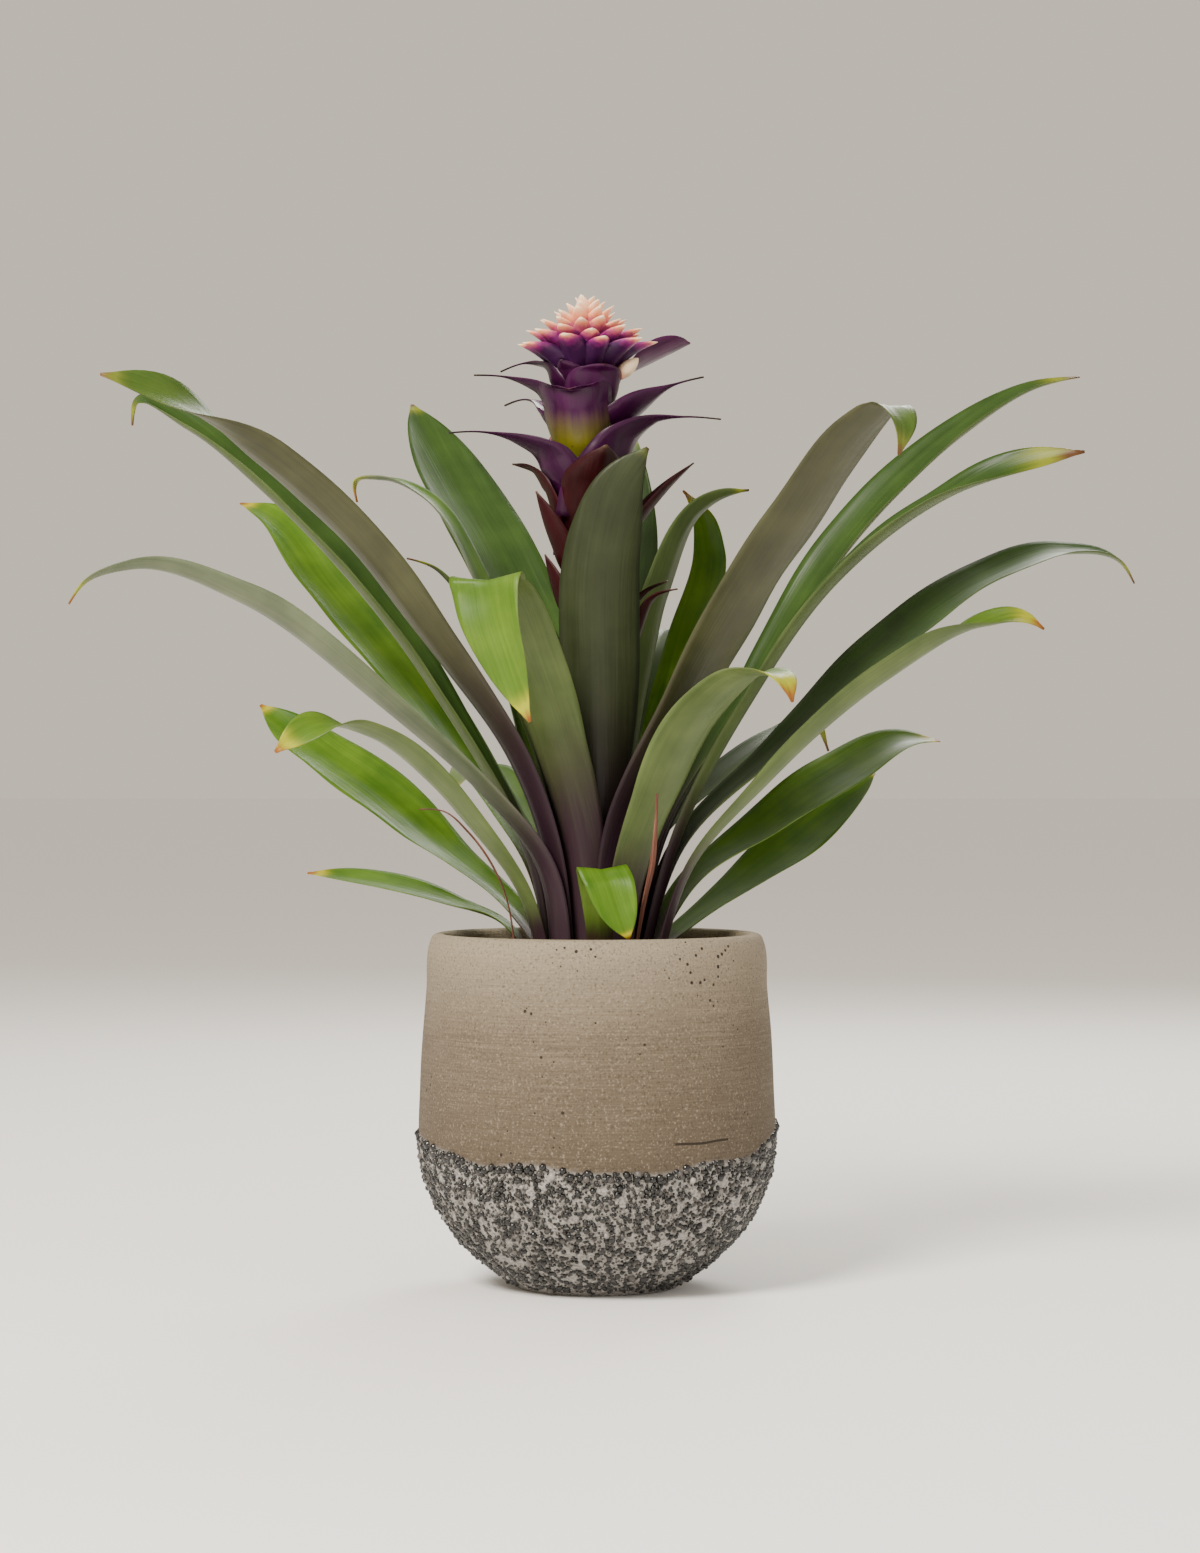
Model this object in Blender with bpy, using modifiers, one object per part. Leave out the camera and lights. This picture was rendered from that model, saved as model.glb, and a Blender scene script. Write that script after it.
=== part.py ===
"""Potted bromeliad: a purple-flowered Guzmania in a cement pot with a dark grit base.

Units are metres and +Z is up.  The origin is the middle of the pot's flat underside.
Azimuths are degrees about +Z from +X, so 270 is the side that the flower faces.
Lengths in the tables below are millimetres, and MM turns them to metres.
"""
from collections import namedtuple
from math import cos, pi, radians, sin

import bmesh
import bpy
import numpy as np

MM = 0.001
GAP = 0.4                     # air left between neighbouring solids

# ---------------------------------------------------------------- driving sizes (mm)
POT_HEIGHT = 176.0
POT_FOOT_RADIUS = 40.0        # flat ring that the pot stands on
POT_BELLY_RADIUS = 89.0
POT_MOUTH_RADIUS = 82.5
POT_WALL = 8.0
POT_FLOOR = 11.0
POT_STEPS = 40

SOIL_TOP = 166.0
SOCKET_RADIUS = 9.5           # hole in the soil that the root crown sits in
SOCKET_FLOOR = 146.0
CROWN_RADIUS = 8.5
CROWN_TOP = 172.0
STEM_RADIUS = 5.2

LEAF_THICKNESS = 0.9
BRACT_THICKNESS = 0.8
DRIED_THICKNESS = 0.7
LEAF_COLUMNS = 5              # grid points across a blade
LEAF_ROWS = 11                # and along it
FOLD_ROWS = 3                 # more of them on a blade that is folded over
BRACT_ROWS = 7
TIP_HALF_WIDTH = 0.8
CROWDING = 30.0               # extra mm of travel a bend counts for, per radian
FOLD_FLATTENS = 14.0          # a bend of this radius halves the channel
MOST_CHANNEL = 1.25           # radians either side of the midrib

# ---------------------------------------------------------------- the plant's table
# A blade is drawn in the upright plane at its azimuth by a few points along it:
# (distance out from the axis, height[, sideways drift]).  turn is how far round the
# crown its foot sits from that plane, width is the flat width, cup is the half angle
# of its channel, twist is how far it has rolled by its tip, and tip is how blunt it
# ends: 2 is a long point and 5 is nearly round.
Blade = namedtuple("Blade", "name azimuth turn width cup twist tip path")

LEAVES = [
    Blade("leaf_left_1", 206, 8, 36, 35, 12, 3.0,
          [(22, 167), (29, 218), (45, 261), (90, 324), (132, 373), (187, 415), (230, 437), (259, 443)]),
    Blade("leaf_left_2", 172, 0, 34, 60, -15, 3.0,
          [(26, 167), (33, 207), (62, 268), (117, 350), (170, 404), (207, 433), (237, 445), (239, 433)]),
    Blade("leaf_left_3", 138, 0, 36, 25, -25, 5.0,
          [(29, 167), (40, 205), (64, 236), (122, 298), (194, 360), (236, 396), (263, 404)]),
    Blade("leaf_left_4", 192, 30, 34, 40, 15, 2.6,
          [(27, 167), (33, 208), (57, 244), (112, 296), (175, 342), (232, 357), (255, 348), (262, 338)]),
    Blade("leaf_left_5", 140, 0, 36, 25, -25, 4.5,
          [(35, 167), (52, 184), (100, 215), (150, 247), (200, 272), (238, 293)]),
    Blade("leaf_left_6", 208, 0, 28, 30, 5, 3.0,
          [(32, 167), (41, 194), (62, 224), (88, 252), (121, 275), (150, 280), (174, 266)]),
    Blade("leaf_left_7", 165, 0, 24, 25, -20, 3.0,
          [(38, 167), (46, 178), (76, 191), (118, 202), (153, 205)]),
    Blade("leaf_left_inner", 195, 0, 18, 40, 0, 2.4,
          [(14.5, 167), (20, 220), (40, 290), (70, 345), (84, 358), (97, 362)]),
    Blade("leaf_front_left", 240, 18, 40, 22, 0, 3.4,
          [(18, 167), (20, 205), (28, 242), (66, 311), (98, 346), (108, 348, 2), (111, 336, 5),
           (110, 306, 15), (108, 280, 26)]),
    Blade("leaf_back_left_1", 120, 0, 44, 25, -10, 6.0,
          [(19, 167), (23, 212), (28, 242), (43, 293), (107, 374), (156, 416), (203, 458)]),
    Blade("leaf_back_left_2", 154, 0, 20, 35, 0, 3.0,
          [(22, 167), (27, 207), (36, 250), (54, 320), (67, 356), (96, 397), (122, 408), (139, 406), (138, 396)]),
    Blade("leaf_centre_front", 273, 0, 42, 25, 0, 5.0,
          [(16.5, 167), (18, 222), (31, 300), (45, 372, 2), (50, 396, 9), (54, 414, 22)]),
    Blade("leaf_centre_back", 80, 0, 40, 28, 0, 4.0,
          [(14.5, 167), (18, 223), (28, 270), (61, 337), (94, 392), (108, 438)]),
    Blade("leaf_centre_right", 14, 0, 34, 25, -40, 2.8,
          [(11.5, 167), (13.5, 230), (22, 302), (33, 350), (55, 391), (64, 396), (79, 399)]),
    Blade("leaf_centre_lime", 55, 3, 30, 30, 0, 3.4,
          [(18.5, 167), (28, 205), (58, 273), (84, 325), (103, 373), (98, 388), (78, 402)]),
    Blade("leaf_right_1", 315, -20, 42, 22, 0, 4.2,
          [(22, 167), (25, 220), (58, 283), (95, 334), (135, 378), (177, 419), (192, 426), (202, 418, -3),
           (204, 402, -8)]),
    Blade("leaf_right_2", 14, 0, 36, 45, 18, 2.6,
          [(22.5, 167), (33, 218), (78, 296), (130, 376), (189, 431), (233, 456), (257, 461)]),
    Blade("leaf_right_3", 350, 0, 30, 45, 10, 3.2,
          [(26, 167), (39, 216), (77, 295), (119, 353), (170, 392), (215, 409), (242, 413)]),
    Blade("leaf_right_4", 22, 0, 38, 32, 18, 2.8,
          [(27, 167), (43, 214), (101, 270), (166, 326), (222, 361), (266, 374), (301, 367), (308, 357)]),
    Blade("leaf_right_5", 354, 0, 30, 40, -15, 3.0,
          [(33, 167), (47, 208), (84, 253), (143, 305), (192, 331), (212, 333), (222, 327)]),
    Blade("leaf_right_6", 306, -12, 34, 25, 0, 3.8,
          [(27, 167), (33, 203), (56, 255), (94, 292), (130, 304), (149, 300), (155, 289)]),
    Blade("leaf_right_7", 30, 0, 40, 28, 18, 3.0,
          [(32, 167), (55, 200), (98, 228), (147, 257), (190, 274), (209, 273)]),
    Blade("leaf_right_8", 38, 0, 34, 28, 22, 3.6,
          [(39, 167), (60, 179), (111, 209), (161, 239), (187, 256)]),
    Blade("leaf_right_9", 46, 0, 22, 35, 0, 2.6,
          [(24, 167), (34, 211), (85, 252), (140, 279), (164, 286), (178, 268)]),
    Blade("leaf_front_small", 272, 0, 24, 20, 0, 3.0,
          [(36, 167), (44, 185), (54, 205), (60, 210), (66, 205, 3), (70, 190, 8), (71, 176, 13)]),
    Blade("leaf_back_1", 76, 0, 34, 30, 0, 2.6,
          [(26, 167), (46, 228), (86, 285), (128, 325), (160, 334), (180, 324)]),
    Blade("leaf_back_2", 90, 0, 36, 30, 0, 2.6,
          [(31, 167), (56, 218), (98, 268), (140, 298), (175, 303), (196, 290)]),
    Blade("leaf_back_3", 113, 0, 34, 30, 0, 2.6,
          [(38, 167), (58, 203), (106, 237), (155, 258), (190, 256), (208, 244)]),
]

DRIED_LEAVES = [
    Blade("dried_leaf_left", 178, 0, 4, 30, 0, 2.0,
          [(41, 167), (48, 201), (64, 226), (77, 237), (89, 238)]),
    Blade("dried_leaf_front", 298, 0, 5, 30, 0, 2.0,
          [(40, 167), (48, 190), (58, 214), (61, 232), (62, 246)]),
]

# Bracts stand on the flower stem, so out is measured from the stem's own axis.
STEM_BRACTS = [
    Blade("stem_bract_1", 318, 0, 13, 40, 0, 2.0,
          [(7, 256), (12, 272), (24, 300), (36, 328), (46, 342), (62, 346)]),
    Blade("stem_bract_2", 175, 0, 16, 45, 0, 2.4, [(7, 296), (12, 314), (18, 331), (23, 337), (26, 330)]),
    Blade("stem_bract_3", 335, 0, 12, 45, 0, 2.0, [(7, 306), (14, 322), (26, 338), (36, 347), (46, 351)]),
    Blade("stem_bract_4", 90, 0, 18, 50, 0, 2.2, [(7, 310), (13, 328), (24, 346), (36, 358)]),
    Blade("stem_bract_5", 200, 0, 15, 55, 0, 2.0, [(7, 326), (11, 341), (16, 355), (20, 365)]),
    Blade("stem_bract_6", 207, 0, 18, 55, 0, 2.0, [(7, 344), (11, 364), (19, 382), (26, 396)]),
    Blade("stem_bract_7", 10, 0, 18, 55, 0, 2.0, [(7, 350), (16, 368), (30, 387), (44, 402), (56, 412)]),
    Blade("stem_bract_8", 172, 0, 20, 55, 0, 2.0, [(7, 366), (11, 383), (17, 399), (25, 408), (36, 411)]),
    Blade("stem_bract_9", 318, 0, 26, 50, 0, 2.4, [(7, 364), (10, 382), (18, 398), (28, 409), (36, 417)]),
    Blade("stem_bract_10", 75, 0, 20, 55, 0, 2.2, [(7, 356), (13, 376), (25, 396), (40, 408)]),
]

FLOWER_BRACTS = [
    Blade("flower_bract_1", 200, 0, 28, 45, 0, 2.2,
          [(7, 376), (10, 394), (18, 413), (36, 422), (54, 425), (71, 424)]),
    Blade("flower_bract_2", 335, 0, 30, 45, 0, 2.2,
          [(7, 382), (11, 401), (23, 423), (37, 431), (55, 432), (74, 430)]),
    Blade("flower_bract_3", 95, 0, 28, 45, 0, 2.2, [(7, 390), (12, 408), (26, 426), (44, 433), (62, 428)]),
    Blade("flower_bract_4", 255, 0, 36, 50, 0, 3.0, [(7, 398), (9.5, 412), (15, 430), (22, 444), (28, 447)]),
    Blade("flower_bract_5", 350, 0, 24, 45, -15, 2.0, [(7, 414), (14, 428), (28, 440), (44, 449), (60, 453)]),
    Blade("flower_bract_6", 190, 0, 22, 45, 0, 2.0, [(7, 418), (11, 434), (22, 447), (38, 453), (56, 454)]),
    Blade("flower_bract_7", 135, 0, 24, 45, 0, 2.2, [(7, 409), (12, 427), (26, 440), (43, 446), (58, 444)]),
    Blade("flower_bract_8", 292, 0, 28, 50, 0, 3.0, [(7, 424), (9, 434), (14, 446), (20, 456), (25, 458)]),
    Blade("flower_bract_9", 62, 0, 26, 45, 0, 2.2, [(7, 399), (14, 418), (29, 435), (44, 444), (60, 446)]),
    Blade("flower_bract_10", 165, 0, 20, 45, 0, 2.0, [(7, 434), (10, 447), (19, 460), (30, 462), (44, 458)]),
    Blade("flower_bract_11", 26, 0, 26, 40, -25, 3.2, [(7, 440), (15, 452), (30, 463), (45, 470), (59, 474)]),
    Blade("flower_bract_12", 232, 0, 16, 50, 0, 2.4, [(7, 441), (10, 449), (15, 457), (20, 461)]),
    Blade("flower_bract_13", 96, 0, 20, 45, 0, 2.2, [(7, 430), (13, 446), (26, 457), (42, 461)]),
]

# The flower stem leans a little to the left as it rises: (x, y, height) in mm.
STEM_PATH = [(0, 0, CROWN_TOP + GAP), (-3, 0, 250), (-7, 0, 340), (-7, 0, 400), (-6, 0, 440), (-6, 0, 460)]

# ---------------------------------------------------------------- finishes
FINISHES = {                  # name: (linear colour, roughness)
    "cement": ((0.23, 0.19, 0.145), 0.85),
    "soil": ((0.035, 0.022, 0.014), 1.0),
    "leaf_green": ((0.10, 0.20, 0.05), 0.45),
    "leaf_olive": ((0.085, 0.075, 0.05), 0.5),
    "leaf_lime": ((0.22, 0.38, 0.06), 0.45),
    "crown_purple": ((0.05, 0.025, 0.035), 0.5),
    "bract_maroon": ((0.075, 0.012, 0.025), 0.45),
    "bract_purple": ((0.13, 0.012, 0.16), 0.4),
    "bract_peach": ((0.80, 0.42, 0.30), 0.5),
    "dried_brown": ((0.19, 0.06, 0.03), 0.8),
}
LIME_LEAVES = ("leaf_left_3", "leaf_left_5", "leaf_left_7", "leaf_centre_lime", "leaf_front_small",
               "leaf_right_8")
OLIVE_LEAVES = ("leaf_left_1", "leaf_centre_front", "leaf_right_1")


def clear_scene():
    for thing in list(bpy.data.objects):
        bpy.data.objects.remove(thing, do_unlink=True)


def new_collection(name):
    group = bpy.data.collections.new(name)
    bpy.context.scene.collection.children.link(group)
    return group


def finish(name, kind):
    """A material of the piece's own, with the colour and roughness of its kind."""
    colour, roughness = FINISHES[kind]
    material = bpy.data.materials.new(name + "_finish")
    material.use_nodes = True
    shader = material.node_tree.nodes["Principled BSDF"]
    shader.inputs["Base Color"].default_value = (*colour, 1.0)
    shader.inputs["Roughness"].default_value = roughness
    shader.inputs["Metallic"].default_value = 0.0
    return material


def add_object(name, data, group, kind):
    piece = bpy.data.objects.new(name, data)
    group.objects.link(piece)
    data.materials.append(finish(name, kind))
    return piece


# ---------------------------------------------------------------- turned pieces
def turned(name, profile, group, kind, steps=POT_STEPS):
    """Turn a profile of (radius, height) about Z; it starts and ends on the axis."""
    mesh = bpy.data.meshes.new(name)
    points = [(radius * MM, 0.0, height * MM) for radius, height in profile]
    edges = [(index, index + 1) for index in range(len(points) - 1)]
    mesh.from_pydata(points, edges, [])
    piece = add_object(name, mesh, group, kind)
    screw = piece.modifiers.new("Turn", "SCREW")
    screw.steps = steps
    screw.render_steps = steps
    screw.use_merge_vertices = True
    screw.merge_threshold = 0.00001
    screw.use_smooth_shade = True
    return piece


def pot_outside():
    """Points up the outside of the pot, from the foot's edge to below the lip."""
    return [(POT_FOOT_RADIUS, 0.0), (46.0, 4.5), (56.0, 12.0), (66.5, 21.5), (76.0, 33.5), (83.5, 48.0),
            (88.0, 63.0), (POT_BELLY_RADIUS, 78.0), (88.5, 99.0), (87.2, 124.0), (85.2, 148.0),
            (POT_MOUTH_RADIUS + 0.4, POT_HEIGHT - 4.0)]


def pot_inside():
    """Points down the inside, the outside moved in by the wall."""
    inner_mouth = POT_MOUTH_RADIUS - POT_WALL + 0.5
    return [(inner_mouth, POT_HEIGHT - 3.0), (76.8, 148.0), (79.0, 124.0), (80.4, 99.0), (81.0, 78.0),
            (80.0, 64.0), (75.5, 50.0), (68.5, 37.0), (59.5, 27.0), (49.0, 18.5), (38.0, 13.0),
            (30.0, POT_FLOOR)]


def build_pot(group):
    lip = [(POT_MOUTH_RADIUS - POT_WALL + 2.5, POT_HEIGHT - 0.8), (POT_MOUTH_RADIUS - 4.0, POT_HEIGHT),
           (POT_MOUTH_RADIUS - 1.2, POT_HEIGHT - 1.2)]
    profile = [(0.0, POT_FLOOR)] + pot_inside()[::-1] + lip + pot_outside()[::-1] + [(0.0, 0.0)]
    return turned("pot", profile, group, "cement")


def build_soil(group):
    """Fills the pot to a finger's width below the lip, with a socket for the crown."""
    clearance = 0.8
    wall = [(radius - clearance, height) for radius, height in pot_inside() if 20 < height < SOIL_TOP]
    profile = [(0.0, SOCKET_FLOOR), (SOCKET_RADIUS, SOCKET_FLOOR), (SOCKET_RADIUS, SOIL_TOP),
               (45.0, SOIL_TOP), (wall[0][0] - 1.0, SOIL_TOP)]
    profile += wall + [(46.0, 18.9), (36.0, 13.9), (29.0, POT_FLOOR + clearance), (0.0, POT_FLOOR + clearance)]
    return turned("potting_soil", profile, group, "soil")


def build_crown(group):
    """The stub of root and stem that every leaf grows from, standing in its socket."""
    low = SOCKET_FLOOR + GAP
    profile = [(0.0, CROWN_TOP), (CROWN_RADIUS - 1.5, CROWN_TOP), (CROWN_RADIUS, CROWN_TOP - 2.0),
               (CROWN_RADIUS, low + 6.0), (CROWN_RADIUS - 3.0, low), (0.0, low)]
    return turned("root_crown", profile, group, "crown_purple", steps=20)


# ---------------------------------------------------------------- blades
def ease(value):
    """Smooth step from 0 to 1."""
    value = min(max(value, 0.0), 1.0)
    return value * value * (3.0 - 2.0 * value)


def smooth_path(points, count, crowding=0.0):
    """A curve through the points, read at count stations along it.

    Each span is a cubic, and the slope at a point blends its two neighbouring chords.
    The stations are evenly spaced, or crowd where the curve bends if crowding, in mm
    of extra travel for each radian turned, says so.
    """
    points = np.array([tuple(point) + (0.0,) * (3 - len(point)) for point in points], dtype=float)
    chords = np.linalg.norm(np.diff(points, axis=0), axis=1)
    slopes = np.diff(points, axis=0) / chords[:, None]
    tangents = np.empty_like(points)
    weight = (chords[:-1] / (chords[:-1] + chords[1:]))[:, None]
    tangents[1:-1] = slopes[:-1] * (1.0 - weight) + slopes[1:] * weight
    tangents[0] = 1.5 * slopes[0] - 0.5 * tangents[1]
    tangents[-1] = 1.5 * slopes[-1] - 0.5 * tangents[-2]
    fine = [points[:1]]
    for index, chord in enumerate(chords):
        u = np.linspace(0.0, 1.0, 25)[1:, None]
        fine.append((2 * u**3 - 3 * u**2 + 1) * points[index] + (u**3 - 2 * u**2 + u) * chord * tangents[index]
                    + (3 * u**2 - 2 * u**3) * points[index + 1] + (u**3 - u**2) * chord * tangents[index + 1])
    fine = np.vstack(fine)
    steps = np.diff(fine, axis=0)
    lengths = np.linalg.norm(steps, axis=1)
    heading = steps / lengths[:, None]
    turning = np.concatenate([[0.0], np.linalg.norm(np.diff(heading, axis=0), axis=1)])
    travelled = np.concatenate([[0.0], np.cumsum(lengths)])
    paced = np.concatenate([[0.0], np.cumsum(lengths + crowding * turning)])
    stations = np.interp(np.linspace(0.0, paced[-1], count), paced, travelled)
    path = np.column_stack([np.interp(stations, travelled, fine[:, axis]) for axis in range(3)])
    return path, stations


def blade_half_width(blade, along, foot_share):
    """Half of the flat width: a narrower foot, an even strap, then the tip."""
    strap = foot_share + (1.0 - foot_share) * ease(along / 0.6)
    taper = 1.0 - max(0.0, (along - 0.45) / 0.55) ** blade.tip
    return max(blade.width / 2.0 * strap * taper, TIP_HALF_WIDTH)


def blade_rows(blade, rows, columns, foot_share, axis_at=None):
    """Points of a blade's middle surface, one row across the blade at each station.

    Near the axis a row is an arc concentric with it, so that blades nest round the
    crown; further out the row's arc opens to the blade's own channel, and it flattens
    where the blade is folded over.
    """
    path, stations = smooth_path(blade.path, rows, CROWDING)
    along = stations / stations[-1]
    middle, sideways = [], []
    for (out, up, drift), value in zip(path, along):
        angle = radians(blade.azimuth + blade.turn * (1.0 - ease(value / 0.4)))
        across = np.array([-sin(angle), cos(angle), 0.0])
        middle.append(np.array([out * cos(angle), out * sin(angle), up]) + across * drift)
        sideways.append(across)
    middle = np.array(middle)
    tangent = np.gradient(middle, stations, axis=0)
    tangent /= np.linalg.norm(tangent, axis=1)[:, None]
    bend = np.linalg.norm(np.gradient(tangent, stations, axis=0), axis=1)
    surface = []
    for row, value in enumerate(along):
        lateral = sideways[row] - tangent[row] * np.dot(sideways[row], tangent[row])
        lateral /= np.linalg.norm(lateral)
        normal = np.cross(tangent[row], lateral)
        roll = radians(blade.twist) * ease((value - 0.15) / 0.5)
        across = lateral * cos(roll) + normal * sin(roll)
        inward = normal * cos(roll) - lateral * sin(roll)
        half = blade_half_width(blade, value, foot_share)
        flatten = 1.0 / (1.0 + (bend[row] * FOLD_FLATTENS) ** 2)
        channel = min(max(half / path[row][0], radians(blade.cup) * flatten), MOST_CHANNEL)
        radius = half / channel
        sink = 0.5 * radius * (1.0 - cos(channel)) * ease((value - 0.1) / 0.3)
        origin = middle[row] - inward * sink
        if axis_at:
            origin = origin + axis_at(middle[row][2])
        line = []
        for angle in np.linspace(-channel, channel, columns):
            line.append(origin + across * radius * sin(angle) + inward * radius * (1.0 - cos(angle)))
        surface.append(line)
    return surface


def build_blade(blade, group, kind, rows, columns=LEAF_COLUMNS, thickness=LEAF_THICKNESS, foot_share=0.5,
                axis_at=None):
    """Map a grid onto the blade's surface and give it thickness."""
    surface = blade_rows(blade, rows, columns, foot_share, axis_at)
    cage = bmesh.new()
    bmesh.ops.create_grid(cage, x_segments=columns - 1, y_segments=rows - 1, size=0.5)
    cage.verts.ensure_lookup_table()
    for vertex in cage.verts:
        column = round((vertex.co.x + 0.5) * (columns - 1))
        row = round((vertex.co.y + 0.5) * (rows - 1))
        vertex.co = [value * MM for value in surface[row][column]]
    mesh = bpy.data.meshes.new(blade.name)
    cage.to_mesh(mesh)
    cage.free()
    mesh.shade_smooth()
    piece = add_object(blade.name, mesh, group, kind)
    shell = piece.modifiers.new("Thickness", "SOLIDIFY")
    shell.thickness = thickness * MM
    shell.offset = 0.0
    return piece


# ---------------------------------------------------------------- flower stem and head
def stem_axis(height):
    """Where the flower stem's axis is at a height, as (x, y, 0) in mm."""
    heights = [point[2] for point in STEM_PATH]
    return np.array([np.interp(height, heights, [point[axis] for point in STEM_PATH]) for axis in (0, 1)] + [0.0])


def build_stem(group):
    curve = bpy.data.curves.new("flower_stem", "CURVE")
    curve.dimensions = "3D"
    curve.bevel_depth = STEM_RADIUS * MM
    curve.bevel_resolution = 2
    curve.use_fill_caps = True
    spline = curve.splines.new("POLY")
    spline.points.add(len(STEM_PATH) - 1)
    for point, place in zip(spline.points, STEM_PATH):
        point.co = (*[value * MM for value in place], 1.0)
    return add_object("flower_stem", curve, group, "crown_purple")


def floret(name, place, lean, azimuth, length, width, group):
    """One small closed bract of the flower head: a flattened, pointed bead."""
    bead = bmesh.new()
    bmesh.ops.create_uvsphere(bead, u_segments=6, v_segments=4, radius=0.5)
    for vertex in bead.verts:
        height = vertex.co.z + 0.5
        slim = 1.0 - 0.45 * height
        x, y = vertex.co.x * width * 0.62 * slim, vertex.co.y * width * slim
        z = (height - 0.15) * length
        forward = x * cos(lean) + z * sin(lean)
        upward = z * cos(lean) - x * sin(lean)
        vertex.co = ((place[0] + forward * cos(azimuth) - y * sin(azimuth)) * MM,
                     (place[1] + forward * sin(azimuth) + y * cos(azimuth)) * MM,
                     (place[2] + upward) * MM)
    mesh = bpy.data.meshes.new(name)
    bead.to_mesh(mesh)
    bead.free()
    piece = bpy.data.objects.new(name, mesh)
    piece.hide_render = True
    piece.display_type = "WIRE"
    group.objects.link(piece)
    return piece


HEAD_BASE = 461.0
SIDE_BUD_FOOT = 446.0         # height where the side bud's stalk leaves the stem
SIDE_BUD_START = 7.5
SIDE_BUD_AZIMUTH = 346.0
SIDE_BUD_LEAN = 50.0
SIDE_BUD_LENGTH = 26.0
SIDE_BUD_WIDTH = 8.0
HEAD_TIERS = [                # (count, ring radius, height above base, lean, length, width)
    (12, 18.5, 7.0, 68.0, 22.0, 10.5),
    (11, 14.5, 10.5, 54.0, 20.0, 10.0),
    (9, 10.0, 15.0, 38.0, 19.0, 9.5),
    (6, 5.5, 18.5, 21.0, 18.0, 9.0),
    (3, 2.0, 20.0, 7.0, 18.0, 8.5),
]


def build_flower_head(group, tools):
    """A domed heart with tiers of small bracts joined to it."""
    core = bmesh.new()
    bmesh.ops.create_uvsphere(core, u_segments=16, v_segments=8, radius=1.0)
    centre = stem_axis(HEAD_BASE)
    for vertex in core.verts:
        lift = 15.0 if vertex.co.z > 0 else 4.0
        vertex.co = ((centre[0] + vertex.co.x * 17.0) * MM, (centre[1] + vertex.co.y * 17.0) * MM,
                     (HEAD_BASE + 5.0 + vertex.co.z * lift) * MM)
    mesh = bpy.data.meshes.new("flower_head")
    core.to_mesh(mesh)
    core.free()
    head = add_object("flower_head", mesh, group, "bract_peach")
    for tier, (count, ring, rise, lean, length, width) in enumerate(HEAD_TIERS):
        for index in range(count):
            azimuth = 2.0 * pi * (index + 0.5 * (tier % 2)) / count
            place = (centre[0] + ring * cos(azimuth), centre[1] + ring * sin(azimuth), HEAD_BASE + rise)
            floret(f"floret_{tier}_{index}", place, radians(lean), azimuth, length, width, tools)
    join = head.modifiers.new("Join florets", "BOOLEAN")
    join.operation = "UNION"
    join.operand_type = "COLLECTION"
    join.collection = tools
    join.solver = "EXACT"
    join.use_self = True
    return head


def leaf_kind(name):
    if name in LIME_LEAVES:
        return "leaf_lime"
    return "leaf_olive" if name in OLIVE_LEAVES else "leaf_green"


def build_side_bud(group):
    """The second, still closed bud that pushes out beside the head on its own stalk."""
    bud = bmesh.new()
    bmesh.ops.create_uvsphere(bud, u_segments=10, v_segments=8, radius=0.5)
    centre = stem_axis(SIDE_BUD_FOOT)
    lean, azimuth = radians(SIDE_BUD_LEAN), radians(SIDE_BUD_AZIMUTH)
    for vertex in bud.verts:
        share = vertex.co.z + 0.5
        swell = SIDE_BUD_WIDTH * (0.45 + 0.75 * ease((share - 0.3) / 0.5))
        x, y, z = vertex.co.x * swell, vertex.co.y * swell, share * SIDE_BUD_LENGTH
        forward = SIDE_BUD_START + x * cos(lean) + z * sin(lean)
        vertex.co = ((centre[0] + forward * cos(azimuth) - y * sin(azimuth)) * MM,
                     (centre[1] + forward * sin(azimuth) + y * cos(azimuth)) * MM,
                     (SIDE_BUD_FOOT + z * cos(lean) - x * sin(lean)) * MM)
    mesh = bpy.data.meshes.new("side_flower_bud")
    bud.to_mesh(mesh)
    bud.free()
    mesh.shade_smooth()
    return add_object("side_flower_bud", mesh, group, "bract_peach")


def main():
    clear_scene()
    parts = new_collection("potted_bromeliad")
    floret_tools = new_collection("floret_tools")
    build_pot(parts)
    build_soil(parts)
    build_crown(parts)
    build_stem(parts)
    for blade in LEAVES:
        folded = len(blade.path) > 8
        build_blade(blade, parts, leaf_kind(blade.name), LEAF_ROWS + (FOLD_ROWS if folded else 0))
    for blade in DRIED_LEAVES:
        build_blade(blade, parts, "dried_brown", BRACT_ROWS, columns=3, thickness=DRIED_THICKNESS)
    for blade in STEM_BRACTS:
        build_blade(blade, parts, "bract_maroon", BRACT_ROWS, thickness=BRACT_THICKNESS, foot_share=0.55,
                    axis_at=stem_axis)
    for blade in FLOWER_BRACTS:
        build_blade(blade, parts, "bract_purple", BRACT_ROWS, thickness=BRACT_THICKNESS, foot_share=0.45,
                    axis_at=stem_axis)
    build_flower_head(parts, floret_tools)
    build_side_bud(parts)


main()
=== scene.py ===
# %% [markdown]
# # A potted bromeliad
#
# This lesson dresses a finished CAD model: a purple-flowered bromeliad in a round cement
# pot whose lower half was dipped in dark grit.  The CAD model gives every leaf its place
# and size.  Here each leaf gets a fine, curved mesh and a living surface, and the pot gets
# its brush marks, pores and beads.
#
# The frame is in metres, with +Z up and the origin at the middle of the pot's underside.
# The tables below are in mm, as the CAD model's are, and MM turns one into the other.

# %% Tools and the CAD frame
from collections import namedtuple
from math import cos, pi, radians, sin, tau

import bpy
import numpy as np
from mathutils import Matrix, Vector, noise


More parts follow.
